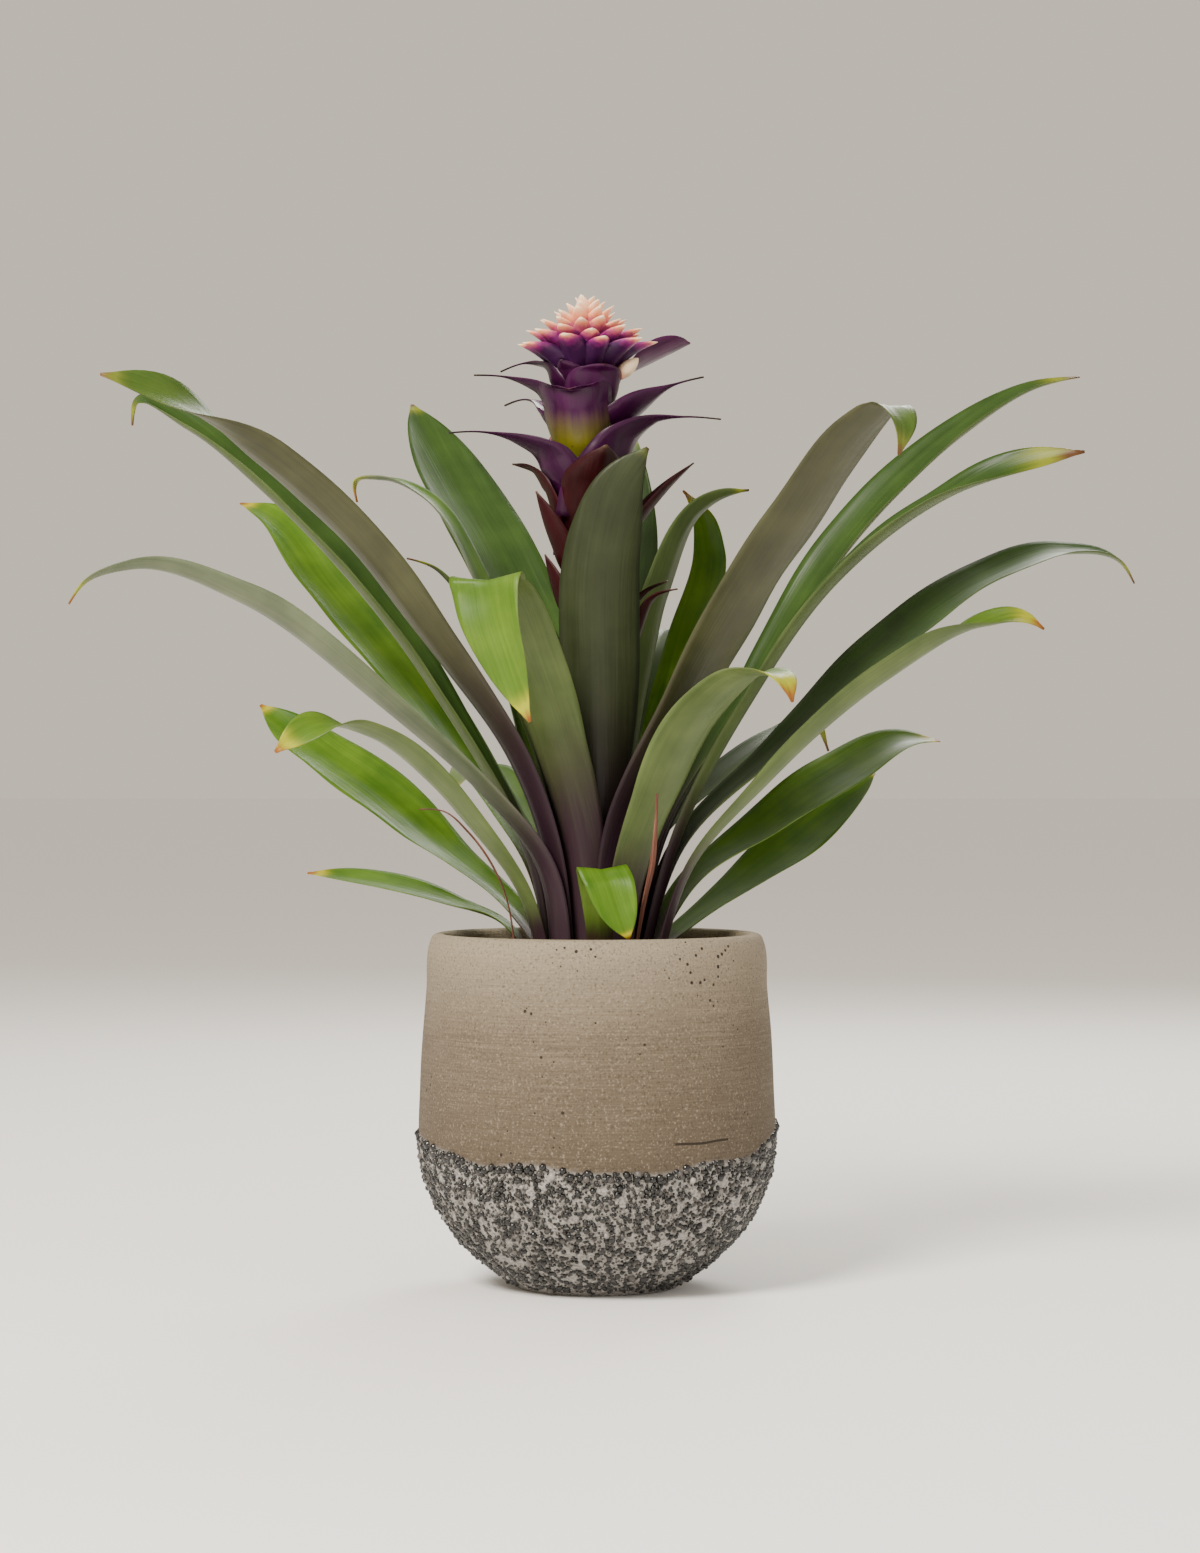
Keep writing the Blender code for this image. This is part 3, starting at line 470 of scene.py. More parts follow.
def living_blade(name, upper, upper_light, under, under_light, foot, tip, burnt, roughness=0.44, gleam=0.26):
    """A waxy leaf or bract skin: satin, streaked along its length, with a stained foot and an aged tip."""
    material, shader = new_material(name, Roughness=roughness, IOR=1.45, Specular_IOR_Level=gleam)
    place = add(material, "UVMap", uv_map="flat_blade").outputs[0]
    veins = add(material, "Mapping", {"Vector": place, "Scale": (1 / VEIN, 1 / VEIN_LENGTH, 1.0)})
    ribs = add(material, "Mapping", {"Vector": place, "Scale": (1 / RIB, 0.5 / VEIN_LENGTH, 1.0)})
    fine = add(material, "TexNoise", {"Vector": veins.outputs[0], "Scale": 1.0, "Detail": 2.0})
    broad = add(material, "TexNoise", {"Vector": ribs.outputs[0], "Scale": 1.0, "Detail": 3.0})
    cloud = add(material, "TexNoise", {"Vector": place, "Scale": 1 / BLOTCH, "Detail": 3.0})

    # Bands and blotches choose between the two tones of each side.
    ragged = add(material, "Math", {0: broad.outputs[0], 1: 0.5}, operation="SUBTRACT")
    tones = add(material, "Math", {0: ragged.outputs[0], 1: 0.55, 2: cloud.outputs[0]},
                operation="MULTIPLY_ADD")
    tones = add(material, "MapRange", {0: tones.outputs[0], 1: 0.25, 2: 0.78})
    above = add(material, "Mix", {0: tones.outputs[0], 6: srgb(upper), 7: srgb(upper_light)},
                data_type="RGBA")
    below = add(material, "Mix", {0: tones.outputs[0], 6: srgb(under), 7: srgb(under_light)},
                data_type="RGBA")
    side = add(material, "Attribute", attribute_name="under")
    skin = add(material, "Mix", {0: side.outputs["Fac"], 6: above.outputs[2], 7: below.outputs[2]},
               data_type="RGBA")
    streaks = add(material, "MapRange", {0: fine.outputs[0], 1: 0.3, 2: 0.7, 3: 0.9, 4: 1.07})
    skin = add(material, "Mix", {0: 1.0, 6: skin.outputs[2], 7: streaks.outputs[0]}, data_type="RGBA",
               blend_type="MULTIPLY")

    # The foot's stain and the tip's ageing both run further along some bands than others.
    foot_zone = add(material, "Attribute", attribute_name="foot").outputs["Fac"]
    stain = add(material, "Math", {0: ragged.outputs[0], 1: 1.1, 2: foot_zone},
                operation="MULTIPLY_ADD", use_clamp=True)
    stain = add(material, "Math", {0: stain.outputs[0], 1: foot_zone}, operation="MULTIPLY")
    stain = add(material, "Math", {0: stain.outputs[0], 1: 0.5}, operation="POWER", use_clamp=True)
    skin = add(material, "Mix", {0: stain.outputs[0], 6: skin.outputs[2], 7: srgb(foot)}, data_type="RGBA")
    tip_zone = add(material, "Attribute", attribute_name="tip").outputs["Fac"]
    age = add(material, "Math", {0: ragged.outputs[0], 1: 0.9, 2: tip_zone},
              operation="MULTIPLY_ADD", use_clamp=True)
    age = add(material, "Math", {0: age.outputs[0], 1: tip_zone}, operation="MULTIPLY")
    aged = add(material, "ValToRGB", {0: age.outputs[0]},
               stops=[(0.0, srgb(tip)), (0.55, srgb(tip)), (0.9, srgb(burnt))])
    ageing = add(material, "MapRange", {0: age.outputs[0], 1: 0.0, 2: 0.35})
    skin = add(material, "Mix", {0: ageing.outputs[0], 6: skin.outputs[2], 7: aged.outputs[0]},
               data_type="RGBA")

    spots = add(material, "TexVoronoi", {"Vector": place, "Scale": 1 / SPECK, "Randomness": 1.0})
    spots = add(material, "MapRange", {0: spots.outputs["Distance"], 1: 0.06, 2: 0.13, 3: 0.35, 4: 0.0})
    skin = add(material, "Mix", {0: spots.outputs[0], 6: skin.outputs[2], 7: srgb("3A3A20")},
               data_type="RGBA")
    wire(material, skin.outputs[2], shader.inputs["Base Color"])

    wax = add(material, "MapRange", {0: broad.outputs[0], 1: 0.3, 2: 0.7,
                                     3: roughness - 0.07, 4: roughness + 0.1})
    wire(material, wax.outputs[0], shader.inputs["Roughness"])
    relief = add(material, "Math", {0: fine.outputs[0], 1: 0.5, 2: broad.outputs[0]},
                 operation="MULTIPLY_ADD")
    bump = add(material, "Bump", {"Height": relief.outputs[0], "Strength": 0.55, "Distance": 0.35 * MM})
    wire(material, bump.outputs[0], shader.inputs["Normal"])
    return material


# Material name, then two tones of the upper side, two of the underside, foot, tip and burnt tip.
LEAF_COLOURS = {
    "lime": ("lime_green_leaf", "335608", "547413", "496220", "60782E", "32261B", "9A9318", "875110"),
    "green": ("deep_green_leaf", "233A0F", "344E19", "3A4920", "4D5C2F", "26171E", "70771E", "51341B"),
    "olive": ("olive_backed_leaf", "344D14", "4D6323", "373823", "4A4B30", "281721", "656E26", "634320"),
    "pale": ("pale_backed_leaf", "3E5D12", "597521", "45552B", "5D6B3B", "301F27", "96991F", "88551F"),
    "grey": ("grey_backed_leaf", "38561A", "506B2A", "4D5740", "687155", "32212B", "8F9634", "825623"),
    "centre": ("shaded_centre_leaf", "283513", "354524", "262C18", "343B24", "1D1016", "474E28", "42351C"),
}
SKINS = {kind: living_blade(*colours) for kind, colours in LEAF_COLOURS.items()}
print("leaf skins:", ", ".join(SKINS))

# %% [markdown]
# ## The leaves
#
# Each leaf takes a skin, how far up the purple foot reaches, where its tip starts to
# yellow, how many mm its margins ripple, and how far its end has curled over, in degrees.
# Young inner leaves are dark at the foot; old outer ones are lime green and have tired tips.

# %% Dress every leaf
Look = namedtuple("Look", "skin foot tip ripple curl")
LEAF_LOOKS = {
    "leaf_left_1": Look("olive", 0.44, 0.95, 0.4, -70),
    "leaf_left_2": Look("green", 0.26, 0.95, 0.3, -20),
    "leaf_left_3": Look("lime", 0.20, 0.95, 0.4, 0),
    "leaf_left_4": Look("grey", 0.28, 0.93, 0.5, 0),
    "leaf_left_5": Look("lime", 0.12, 0.95, 0.5, -10),
    "leaf_left_6": Look("pale", 0.12, 0.90, 0.4, -65),
    "leaf_left_7": Look("lime", 0.10, 0.86, 0.4, 0),
    "leaf_left_inner": Look("green", 0.32, 0.90, 0.3, 0),
    "leaf_front_left": Look("pale", 0.42, 0.93, 0.5, 0),
    "leaf_back_left_1": Look("green", 0.26, 0.97, 0.3, 0),
    "leaf_back_left_2": Look("grey", 0.24, 0.90, 0.4, 0),
    "leaf_centre_front": Look("centre", 0.50, 0.97, 0.3, 0),
    "leaf_centre_back": Look("green", 0.35, 0.95, 0.3, 0),
    "leaf_centre_right": Look("green", 0.44, 0.95, 0.3, 0),
    "leaf_centre_lime": Look("lime", 0.24, 0.90, 0.5, 0),
    "leaf_right_1": Look("olive", 0.40, 0.95, 0.5, 0),
    "leaf_right_2": Look("green", 0.28, 0.92, 0.4, 0),
    "leaf_right_3": Look("green", 0.28, 0.86, 0.4, 50),
    "leaf_right_4": Look("green", 0.20, 0.93, 0.5, 0),
    "leaf_right_5": Look("pale", 0.22, 0.90, 0.4, 55),
    "leaf_right_6": Look("pale", 0.26, 0.86, 0.4, 0),
    "leaf_right_7": Look("lime", 0.12, 0.92, 0.5, 0),
    "leaf_right_8": Look("lime", 0.10, 0.97, 0.4, 0),
    "leaf_right_9": Look("green", 0.20, 0.88, 0.3, 0),
    "leaf_front_small": Look("lime", 0.20, 0.93, 0.4, 0),
    "leaf_back_1": Look("green", 0.20, 0.92, 0.4, 0),
    "leaf_back_2": Look("olive", 0.20, 0.90, 0.4, 0),
    "leaf_back_3": Look("lime", 0.14, 0.90, 0.4, 0),
}
LEAF_THICKNESS = 0.9          # mm, along the midrib
LEAF_ROWS = 72
LEAF_COLUMNS = 13

for blade in LEAVES:
    look = LEAF_LOOKS[blade.name]
    leaf = blade_object(blade, SKINS[look.skin], LEAF_THICKNESS, LEAF_ROWS, LEAF_COLUMNS, ripple=look.ripple,
                        foot=look.foot, tip=look.tip, curl=look.curl)
print(len(LEAVES), "leaves, each with", 4 * (LEAF_ROWS - 1) * LEAF_COLUMNS, "triangles")

# %% [markdown]
# ## Dried leaves
#
# Two dead leaves are left standing at the edge of the rosette.  They have shrivelled to
# narrow, stiff ribbons: dull, red-brown and fibrous.

# %% Dried leaves
FIBRE = 0.5 * MM              # spacing of the fibres
FIBRE_LENGTH = 18.0 * MM
DRIED_THICKNESS = 0.7         # mm
DRIED_ROWS = 48
DRIED_COLUMNS = 7
SHRIVELLED = 0.8              # ripple of the margins, mm


def dried_blade():
    """Dead leaf: no wax is left, so it is rough, with dark and pale fibres along it."""
    material, shader = new_material("dried_leaf_fibre", Roughness=0.85, IOR=1.4)
    place = add(material, "UVMap", uv_map="flat_blade")
    along = add(material, "Mapping", {"Vector": place.outputs[0],
                                      "Scale": (1 / FIBRE, 1 / FIBRE_LENGTH, 1.0)})
    fibres = add(material, "TexNoise", {"Vector": along.outputs[0], "Scale": 1.0, "Detail": 4.0})
    shade = add(material, "ValToRGB", {0: fibres.outputs[0]},
                stops=[(0.3, srgb("35201A")), (0.55, srgb("6A4032")), (0.75, srgb("9A705A"))])
    wire(material, shade.outputs[0], shader.inputs["Base Color"])
    bump = add(material, "Bump", {"Height": fibres.outputs[0], "Strength": 0.8, "Distance": 0.3 * MM})
    wire(material, bump.outputs[0], shader.inputs["Normal"])
    return material


dried_fibre = dried_blade()
for blade in DRIED_LEAVES:
    dead = blade_object(blade, dried_fibre, DRIED_THICKNESS, DRIED_ROWS, DRIED_COLUMNS, ripple=SHRIVELLED)
print("dried leaves:", [blade.name for blade in DRIED_LEAVES])

# %% [markdown]
# ## Bracts
#
# A bract is a leaf that has turned into part of the flower.  The lower ones on the stem
# are small and maroon.  The upper ones are broad, glossy and a deep violet that is nearly
# black in the shade, with a yellow-green foot on the ones that face forward.

# %% Stem and flower bracts
# Material name, roughness and gleam, then seven colours in the leaf skins' order.
BRACT_COLOURS = {
    "maroon": ("maroon_bract", 0.42, 0.2,
               "240608", "3C0F11", "22060A", "380E12", "2A1218", "3A2420", "4A3828"),
    "green": ("green_bract", 0.44, 0.26,
              "3A4A1E", "52662E", "3C4C24", "586A34", "3A2E22", "B8B850", "B88E3E"),
    "violet": ("violet_bract", 0.34, 0.28,
               "2A0428", "4C0C42", "240522", "3E0B38", "2C0A26", "1C0E16", "251B13"),
    "violet_cup": ("violet_bract_with_lime_foot", 0.32, 0.28,
                   "2E052A", "540E48", "280526", "440D3E", "6C6A12", "34082E", "3D1622"),
    "ember": ("ember_bract", 0.34, 0.28,
              "5A1A38", "96463A", "340830", "58144A", "4A2A1E", "48183E", "5A2C2E"),
}
BRACT_SKINS = {kind: living_blade(name, *colours, roughness=roughness, gleam=gleam)
               for kind, (name, roughness, gleam, *colours) in BRACT_COLOURS.items()}

# foot_share is the sheathing foot's width as a share of the strap's, and tail is how wide the
# thread that a tip is drawn out to stays; 0 leaves the tip as the table has it.
BractLook = namedtuple("BractLook", "skin foot tip ripple foot_share tail")
PLAIN_MAROON = BractLook("maroon", 0.15, 0.9, 0.25, 0.95, 0.0)
PLAIN_VIOLET = BractLook("violet", 0.12, 0.8, 0.35, 1.0, 0.12)
BRACT_LOOKS = {
    "stem_bract_2": BractLook("green", 0.2, 0.86, 0.2, 0.6, 0.0),
    "stem_bract_4": BractLook("green", 0.3, 0.9, 0.2, 0.8, 0.1),
    "flower_bract_4": BractLook("violet_cup", 0.6, 0.97, 0.5, 0.45, 0.0),
    "flower_bract_8": BractLook("violet_cup", 0.5, 0.97, 0.3, 0.62, 0.0),
    "flower_bract_11": BractLook("ember", 0.2, 0.95, 0.35, 0.6, 0.0),
    "flower_bract_12": BractLook("violet", 0.1, 0.95, 0.3, 0.8, 0.0),
    "flower_bract_3": BractLook("ember", 0.3, 0.92, 0.3, 0.9, 0.12),
}
BRACT_THICKNESS = 0.8         # mm, along the midrib
BRACT_ROWS = 44
BRACT_COLUMNS = 11

for blades, slot, usual in ((STEM_BRACTS, "stem_bract", PLAIN_MAROON),
                            (FLOWER_BRACTS, "flower_bract", PLAIN_VIOLET)):
    for blade in blades:
        look = BRACT_LOOKS.get(blade.name, usual)
        bract = blade_object(blade, BRACT_SKINS[look.skin], BRACT_THICKNESS, BRACT_ROWS, BRACT_COLUMNS,
                             foot_share=look.foot_share, ripple=look.ripple, foot=look.foot, tip=look.tip,
                             tail=look.tail, axis_at=stem_axis)
print(len(STEM_BRACTS), "stem bracts and", len(FLOWER_BRACTS), "flower bracts")

# %% [markdown]
# ## Turned shapes
#
# The pot, the soil and the flower stem are round, so each is a profile swept about an
# axis.  Sweeping it in code rather than with a modifier lets the next step move every
# point of every ring, which roughens it the way cement and soil really are.

# %% Sweep a profile
CLOSED = 0.02                 # a ring of this radius in mm closes a swept shape


def swept(name, profile, steps, material, roughen=None, axis_at=None):
    """Rings about the axis, one for each (radius, height) of the profile, from outside to inside."""
    angles = np.arange(steps) * tau / steps
    radius, height = profile[:, 0:1], profile[:, 1:2]
    points = np.stack([radius * np.cos(angles), radius * np.sin(angles), np.repeat(height, steps, axis=1)],
                      axis=-1)
    if roughen:
        points = roughen(points, angles)
    if axis_at:
        points = points + np.array([axis_at(level) for level in profile[:, 1]])[:, None, :]
    corners = np.arange(points.shape[0] * steps).reshape(-1, steps)
    beside = np.roll(corners, -1, axis=1)
    quads = np.stack([corners[:-1], beside[:-1], beside[1:], corners[1:]], axis=-1).reshape(-1, 4)
    return new_piece(name, points.reshape(-1, 3), quads.tolist(), material)


def lumps(points, size):
    """Smooth noise from -1 to 1 at each point, with lumps of about that size in mm."""
    flat = points.reshape(-1, 3) / size
    return np.array([noise.noise(place) for place in flat]).reshape(points.shape[:-1])


print("lumps 9 mm across, read at five places:", np.round(lumps(np.arange(15.0).reshape(5, 3), 9.0), 2))

# %% [markdown]
# ## Cast cement
#
# The pot was cast, then its upper part was wiped with a brush while it was soft.  That
# left fine level strokes, a few air pores and one short crack.  Toward the lip the wall is
# painted paler, a painted highlight where the rim catches the light.  Cement is matt and
# warm grey.  The lower part was rolled in grit up to a wavy line, over a bed of pale ash
# that shows between the grains.  Real sand and brush hairs are finer than the sizes below,
# which are as coarse as they need to be to show.

# %% The cement material
GRIT_LINE = 79.0              # height of the grit's edge at the sides and back, mm
GRIT_DIP = 14.5               # how far it dips at the front
STROKE = (40.0 * MM, 0.8 * MM)          # length and width of a brush stroke
CLOUD = 30.0 * MM             # size of the paler and darker areas
SAND = 1.1 * MM
LOWER_DARKENING_HEIGHTS = (66.0 * MM, 130.0 * MM)          # heights between which the darker lower wall fades
# The wall is painted paler toward the lip: a painted highlight where the rim catches the light.
LIP_HIGHLIGHT_HEIGHTS = (128.0 * MM, 179.0 * MM)         # and between which the wall pales toward the lip
PORE_SPACING = 4.6 * MM
PORE_PATCH = 34.0 * MM        # pores come in patches of this size
PATCH_SHIFT = (-60.0 * MM, -24.0 * MM, -25.0 * MM)   # moves a patch to the pot's upper right
CRACK = (50.5 * MM, 75.5 * MM)          # middle of the crack: distance right, height
CRACK_HALF = (13.0 * MM, 0.55 * MM)     # and its half length and half width
CRACK_WANDER = 6.0 * MM


def cement():
    """Cast cement: matt, warm grey, brushed level, with pores, a crack and a painted highlight toward the
    lip.
    """
    material, shader = new_material("cast_cement", Roughness=0.86, IOR=1.5, Specular_IOR_Level=0.3)
    point = add(material, "TexCoord").outputs["Object"]
    level = add(material, "Mapping", {"Vector": point,
                                      "Scale": (1 / STROKE[0], 1 / STROKE[0], 1 / STROKE[1])})
    strokes = add(material, "TexNoise", {"Vector": level.outputs[0], "Scale": 1.0, "Detail": 4.0,
                                         "Roughness": 0.65})
    cloud = add(material, "TexNoise", {"Vector": point, "Scale": 1 / CLOUD, "Detail": 5.0})
    sand = add(material, "TexNoise", {"Vector": point, "Scale": 1 / SAND, "Detail": 3.0})

    soft_cloud = add(material, "MapRange", {0: cloud.outputs[0], 3: 0.16, 4: 0.46})
    tones = add(material, "Math", {0: strokes.outputs[0], 1: 0.9, 2: soft_cloud.outputs[0]},
                operation="MULTIPLY_ADD")
    colour = add(material, "ValToRGB", {0: tones.outputs[0]},
                 stops=[(0.42, srgb("53493B")), (0.75, srgb("655A4B")), (1.08, srgb("7A6E5D"))])
    right, back, high = add(material, "SeparateXYZ", {0: point}).outputs
    # The wall's colour grows darker towards the bottom, below 130 mm.
    darker_below = add(material, "MapRange", {0: high, 1: LOWER_DARKENING_HEIGHTS[0], 2: LOWER_DARKENING_HEIGHTS[1], 3: 0.6, 4: 0.0})
    colour = add(material, "Mix", {0: darker_below.outputs[0], 6: colour.outputs[0], 7: srgb("4A3F33")},
                 data_type="RGBA")
    # Painted highlight: the wall is painted paler toward the lip, where the rim catches the light.
    painted_lip_highlight = add(material, "MapRange", {0: high, 1: LIP_HIGHLIGHT_HEIGHTS[0], 2: LIP_HIGHLIGHT_HEIGHTS[1], 3: 0.0, 4: 0.6})
    colour = add(material, "Mix", {0: painted_lip_highlight.outputs[0], 6: colour.outputs[2], 7: srgb("A0947F")},
                 data_type="RGBA")
    pale = add(material, "MapRange", {0: sand.outputs[0], 1: 0.42, 2: 0.3, 3: 0.0, 4: 0.4})
    colour = add(material, "Mix", {0: pale.outputs[0], 6: colour.outputs[2], 7: srgb("A89B86")},
                 data_type="RGBA")
    dark = add(material, "MapRange", {0: sand.outputs[0], 1: 0.56, 2: 0.7, 3: 0.0, 4: 0.6})
    colour = add(material, "Mix", {0: dark.outputs[0], 6: colour.outputs[2], 7: srgb("3A3025")},
                 data_type="RGBA")
    bedded = add(material, "Attribute", attribute_name="bedded")
    ash = add(material, "ValToRGB", {0: sand.outputs[0]},
              stops=[(0.3, srgb("5E5B58")), (0.62, srgb("AAA6A1"))])
    colour = add(material, "Mix", {0: bedded.outputs["Fac"], 6: colour.outputs[2], 7: ash.outputs[0]},
                 data_type="RGBA")

    pores = add(material, "TexVoronoi", {"Vector": point, "Scale": 1 / PORE_SPACING, "Randomness": 1.0})
    aside = add(material, "Mapping", {"Vector": point, "Location": PATCH_SHIFT})
    patchy = add(material, "TexNoise", {"Vector": aside.outputs[0], "Scale": 1 / PORE_PATCH, "Detail": 1.0})
    size = add(material, "MapRange", {0: patchy.outputs[0], 1: 0.5, 2: 0.7, 3: 0.0, 4: 0.2})
    hole = add(material, "Math", {0: pores.outputs["Distance"], 1: size.outputs[0]}, operation="LESS_THAN")
    wander = add(material, "Math", {0: patchy.outputs[0], 1: CRACK_WANDER, 2: CRACK[1]},
                 operation="MULTIPLY_ADD")
    at_height = add(material, "Math", {0: high, 1: wander.outputs[0], 2: CRACK_HALF[1]}, operation="COMPARE")
    beside = add(material, "Math", {0: right, 1: CRACK[0], 2: CRACK_HALF[0]}, operation="COMPARE")
    in_front = add(material, "Math", {0: back, 1: 0.0}, operation="LESS_THAN")
    crack = add(material, "Math", {0: at_height.outputs[0], 1: beside.outputs[0]}, operation="MULTIPLY")
    crack = add(material, "Math", {0: crack.outputs[0], 1: in_front.outputs[0]}, operation="MULTIPLY")
    hole = add(material, "Math", {0: hole.outputs[0], 1: crack.outputs[0]}, operation="MAXIMUM")
    # Pores and the crack are painted dark, as painted shade inside them.
    colour = add(material, "Mix", {0: hole.outputs[0], 6: colour.outputs[2], 7: srgb("2E261E")},
                 data_type="RGBA")
    wire(material, colour.outputs[2], shader.inputs["Base Color"])

    relief = add(material, "Math", {0: strokes.outputs[0], 1: 0.6, 2: sand.outputs[0]},
                 operation="MULTIPLY_ADD")
    relief = add(material, "Math", {0: hole.outputs[0], 1: -3.0, 2: relief.outputs[0]},
                 operation="MULTIPLY_ADD")
    bump = add(material, "Bump", {"Height": relief.outputs[0], "Strength": 1.0, "Distance": 0.5 * MM})
    wire(material, bump.outputs[0], shader.inputs["Normal"])
    return material


cast_cement = cement()
print("material:", cast_cement.name)

# %% The pot's wall
POT_OUTSIDE = [(40.0, 0.0), (46.0, 4.5), (56.0, 12.0), (66.5, 21.5), (76.0, 33.5), (83.5, 48.0),
               (88.0, 63.0), (89.0, 78.0), (88.5, 99.0), (87.2, 124.0), (85.2, 148.0), (83.2, 172.4)]
POT_LIP = [(82.3, 174.6), (80.4, 175.9), (77.6, 176.0), (75.8, 175.2)]
POT_INSIDE = [(75.0, 173.0), (76.8, 148.0), (79.0, 124.0), (80.4, 99.0), (81.0, 78.0), (80.0, 64.0),
              (75.5, 50.0), (68.5, 37.0), (59.5, 27.0), (49.0, 18.5), (38.0, 13.0), (30.0, 11.0)]
POT_FOOT = 20.0               # radius of the flat middle of the underside, mm
POT_FLOOR = 11.0              # height of the bowl's inside floor, mm
OUTSIDE_ROWS = 150
INSIDE_ROWS = 36
POT_STEPS = 288


def grit_height(angles):
    """Height of the grit's wavy edge round the pot, mm. The front, at 270 degrees, is lowest."""
    wave = 1.6 * np.sin(angles * 3 + 0.6) + 1.1 * np.sin(angles * 7 + 2.0) + 0.8 * np.sin(angles * 12)
    return GRIT_LINE - GRIT_DIP * np.clip(-np.sin(angles), 0.0, 1.0) ** 1.4 + wave


def uneven_cement(points, angles):
    """Cast cement is out of round by a few tenths of a mm, and lumpy where the grit is bedded in it."""
    radial = np.stack([np.cos(angles), np.sin(angles), np.zeros_like(angles)], axis=-1)
    height = points[..., 2]
    bedding = 1.0 - ease((height - grit_height(angles)[None, :] + 2.0) / 3.0)
    bedding = bedding * (height > 1.0)
    # Each product is a height in mm times lumps of a size in mm.
    push = 0.25 * lumps(points, 28.0) + bedding * (0.5 * lumps(points, 2.6) + 0.3 * lumps(points, 5.0) - 0.2)
    outside = (np.arange(points.shape[0]) < OUTSIDE_ROWS)[:, None]
    return points + radial[None] * (push * np.where(outside, 1.0, 0.3))[..., None]


outside = smooth_path(POT_OUTSIDE + POT_LIP, OUTSIDE_ROWS)[0][:, :2]
inside = smooth_path(POT_INSIDE, INSIDE_ROWS)[0][:, :2]
pot_profile = np.vstack([[(CLOSED, 0.0), (POT_FOOT, 0.0)], outside, inside, [(CLOSED, POT_FLOOR)]])
pot = swept("cement_pot", pot_profile, POT_STEPS, cast_cement, roughen=uneven_cement)
wall = np.array([vertex.co for vertex in pot.data.vertices]) / MM
around = np.arctan2(wall[:, 1], wall[:, 0]) % tau
give(pot, "bedded", 1.0 - ease((wall[:, 2] - grit_height(around) + 1.5) / 2.5))
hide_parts("pot")
print("pot wall:", len(pot.data.polygons), "faces")

# %% [markdown]
# ## Beaded grit
#
# The grit is crushed dark slag, tumbled until its grains are round and glassy.  Each
# grain is small, but they catch the light one by one and break the pot's outline, so they
# are real domes and not a bump map.  The largest ones lie along the upper edge.

# %% The grit's material
def slag_grit():
    """Tumbled slag: glassy and nearly black, with some duller grey grains among it."""
    material, shader = new_material("tumbled_slag_grit", Roughness=0.25, IOR=1.55)
    tone = add(material, "Attribute", attribute_name="grain")
    colour = add(material, "ValToRGB", {0: tone.outputs["Fac"]},
                 stops=[(0.0, srgb("050505")), (0.45, srgb("1C1A19")), (0.75, srgb("56524E")),
                        (1.0, srgb("A8A39D"))])
    wire(material, colour.outputs[0], shader.inputs["Base Color"])
    gloss = add(material, "MapRange", {0: tone.outputs["Fac"], 3: 0.08, 4: 0.4})
    wire(material, gloss.outputs[0], shader.inputs["Roughness"])
    return material


slag = slag_grit()
print("material:", slag.name)

# %% Scatter the grains
GRAIN_SPACING = 2.0           # mm between grains, centre to centre
ROW_SPACING = 0.87            # rows of grains stand this much closer, as balls pack
PATCH = 5.0                   # size of the bare patches between clusters of grains, mm
FIRST_ROW = 1.5               # mm along the wall, from the edge of the foot
LOWEST_GRAIN = 2.2            # no grain stands lower than this, so that the pot stands flat
LARGEST_GRAIN = 1.8           # radius, mm
EDGE_BAND = 4.0               # the largest grains lie this close to the upper edge, mm
EDGE_GRAINS = (1.3, 2.2)      # and have radii between these


def scatter_grains():
    """Places, outward directions and radii of the grains, from the foot up to the wavy edge."""
    profile, stations = smooth_path(POT_OUTSIDE, 240)
    slope = np.gradient(profile[:, :2], stations, axis=0)
    places, facings, sizes = [], [], []
    for station in np.arange(FIRST_ROW, stations[-1], GRAIN_SPACING * ROW_SPACING):
        radius, height = (np.interp(station, stations, profile[:, axis]) for axis in (0, 1))
        if height > GRIT_LINE + EDGE_BAND:
            break
        run, rise = (np.interp(station, stations, slope[:, axis]) for axis in (0, 1))
        count = int(tau * radius / GRAIN_SPACING)
        turn = chance.uniform(0.0, tau)
        for index in range(count):
            angle = turn + tau * index / count + chance.normal(0.0, 0.3) * GRAIN_SPACING / radius
            level = height + chance.normal(0.0, 0.45)
            edge = grit_height(np.array([angle % tau]))[0] - level
            place = Vector((radius * cos(angle), radius * sin(angle), level))
            bare_patch = noise.noise(place / PATCH) > 0.32 and edge > 5.0
            if edge < 0.0 or level < LOWEST_GRAIN or bare_patch:
                continue
            size = min(chance.lognormal(-0.14, 0.34), LARGEST_GRAIN)
            if edge < EDGE_BAND and chance.random() < 0.35:
                size = chance.uniform(*EDGE_GRAINS)
            facing = Vector((rise * cos(angle), rise * sin(angle), -run)).normalized()
            places.append(place + facing * (0.15 * size - 0.2))
            facings.append(facing)
            sizes.append(size)
    return places, facings, sizes


# %% Build the grains
DOME = [(0.0, 1.0), (0.78, 0.66), (1.0, -0.15)]   # (radius, height) of a grain of radius 1
DOME_SIDES = 6


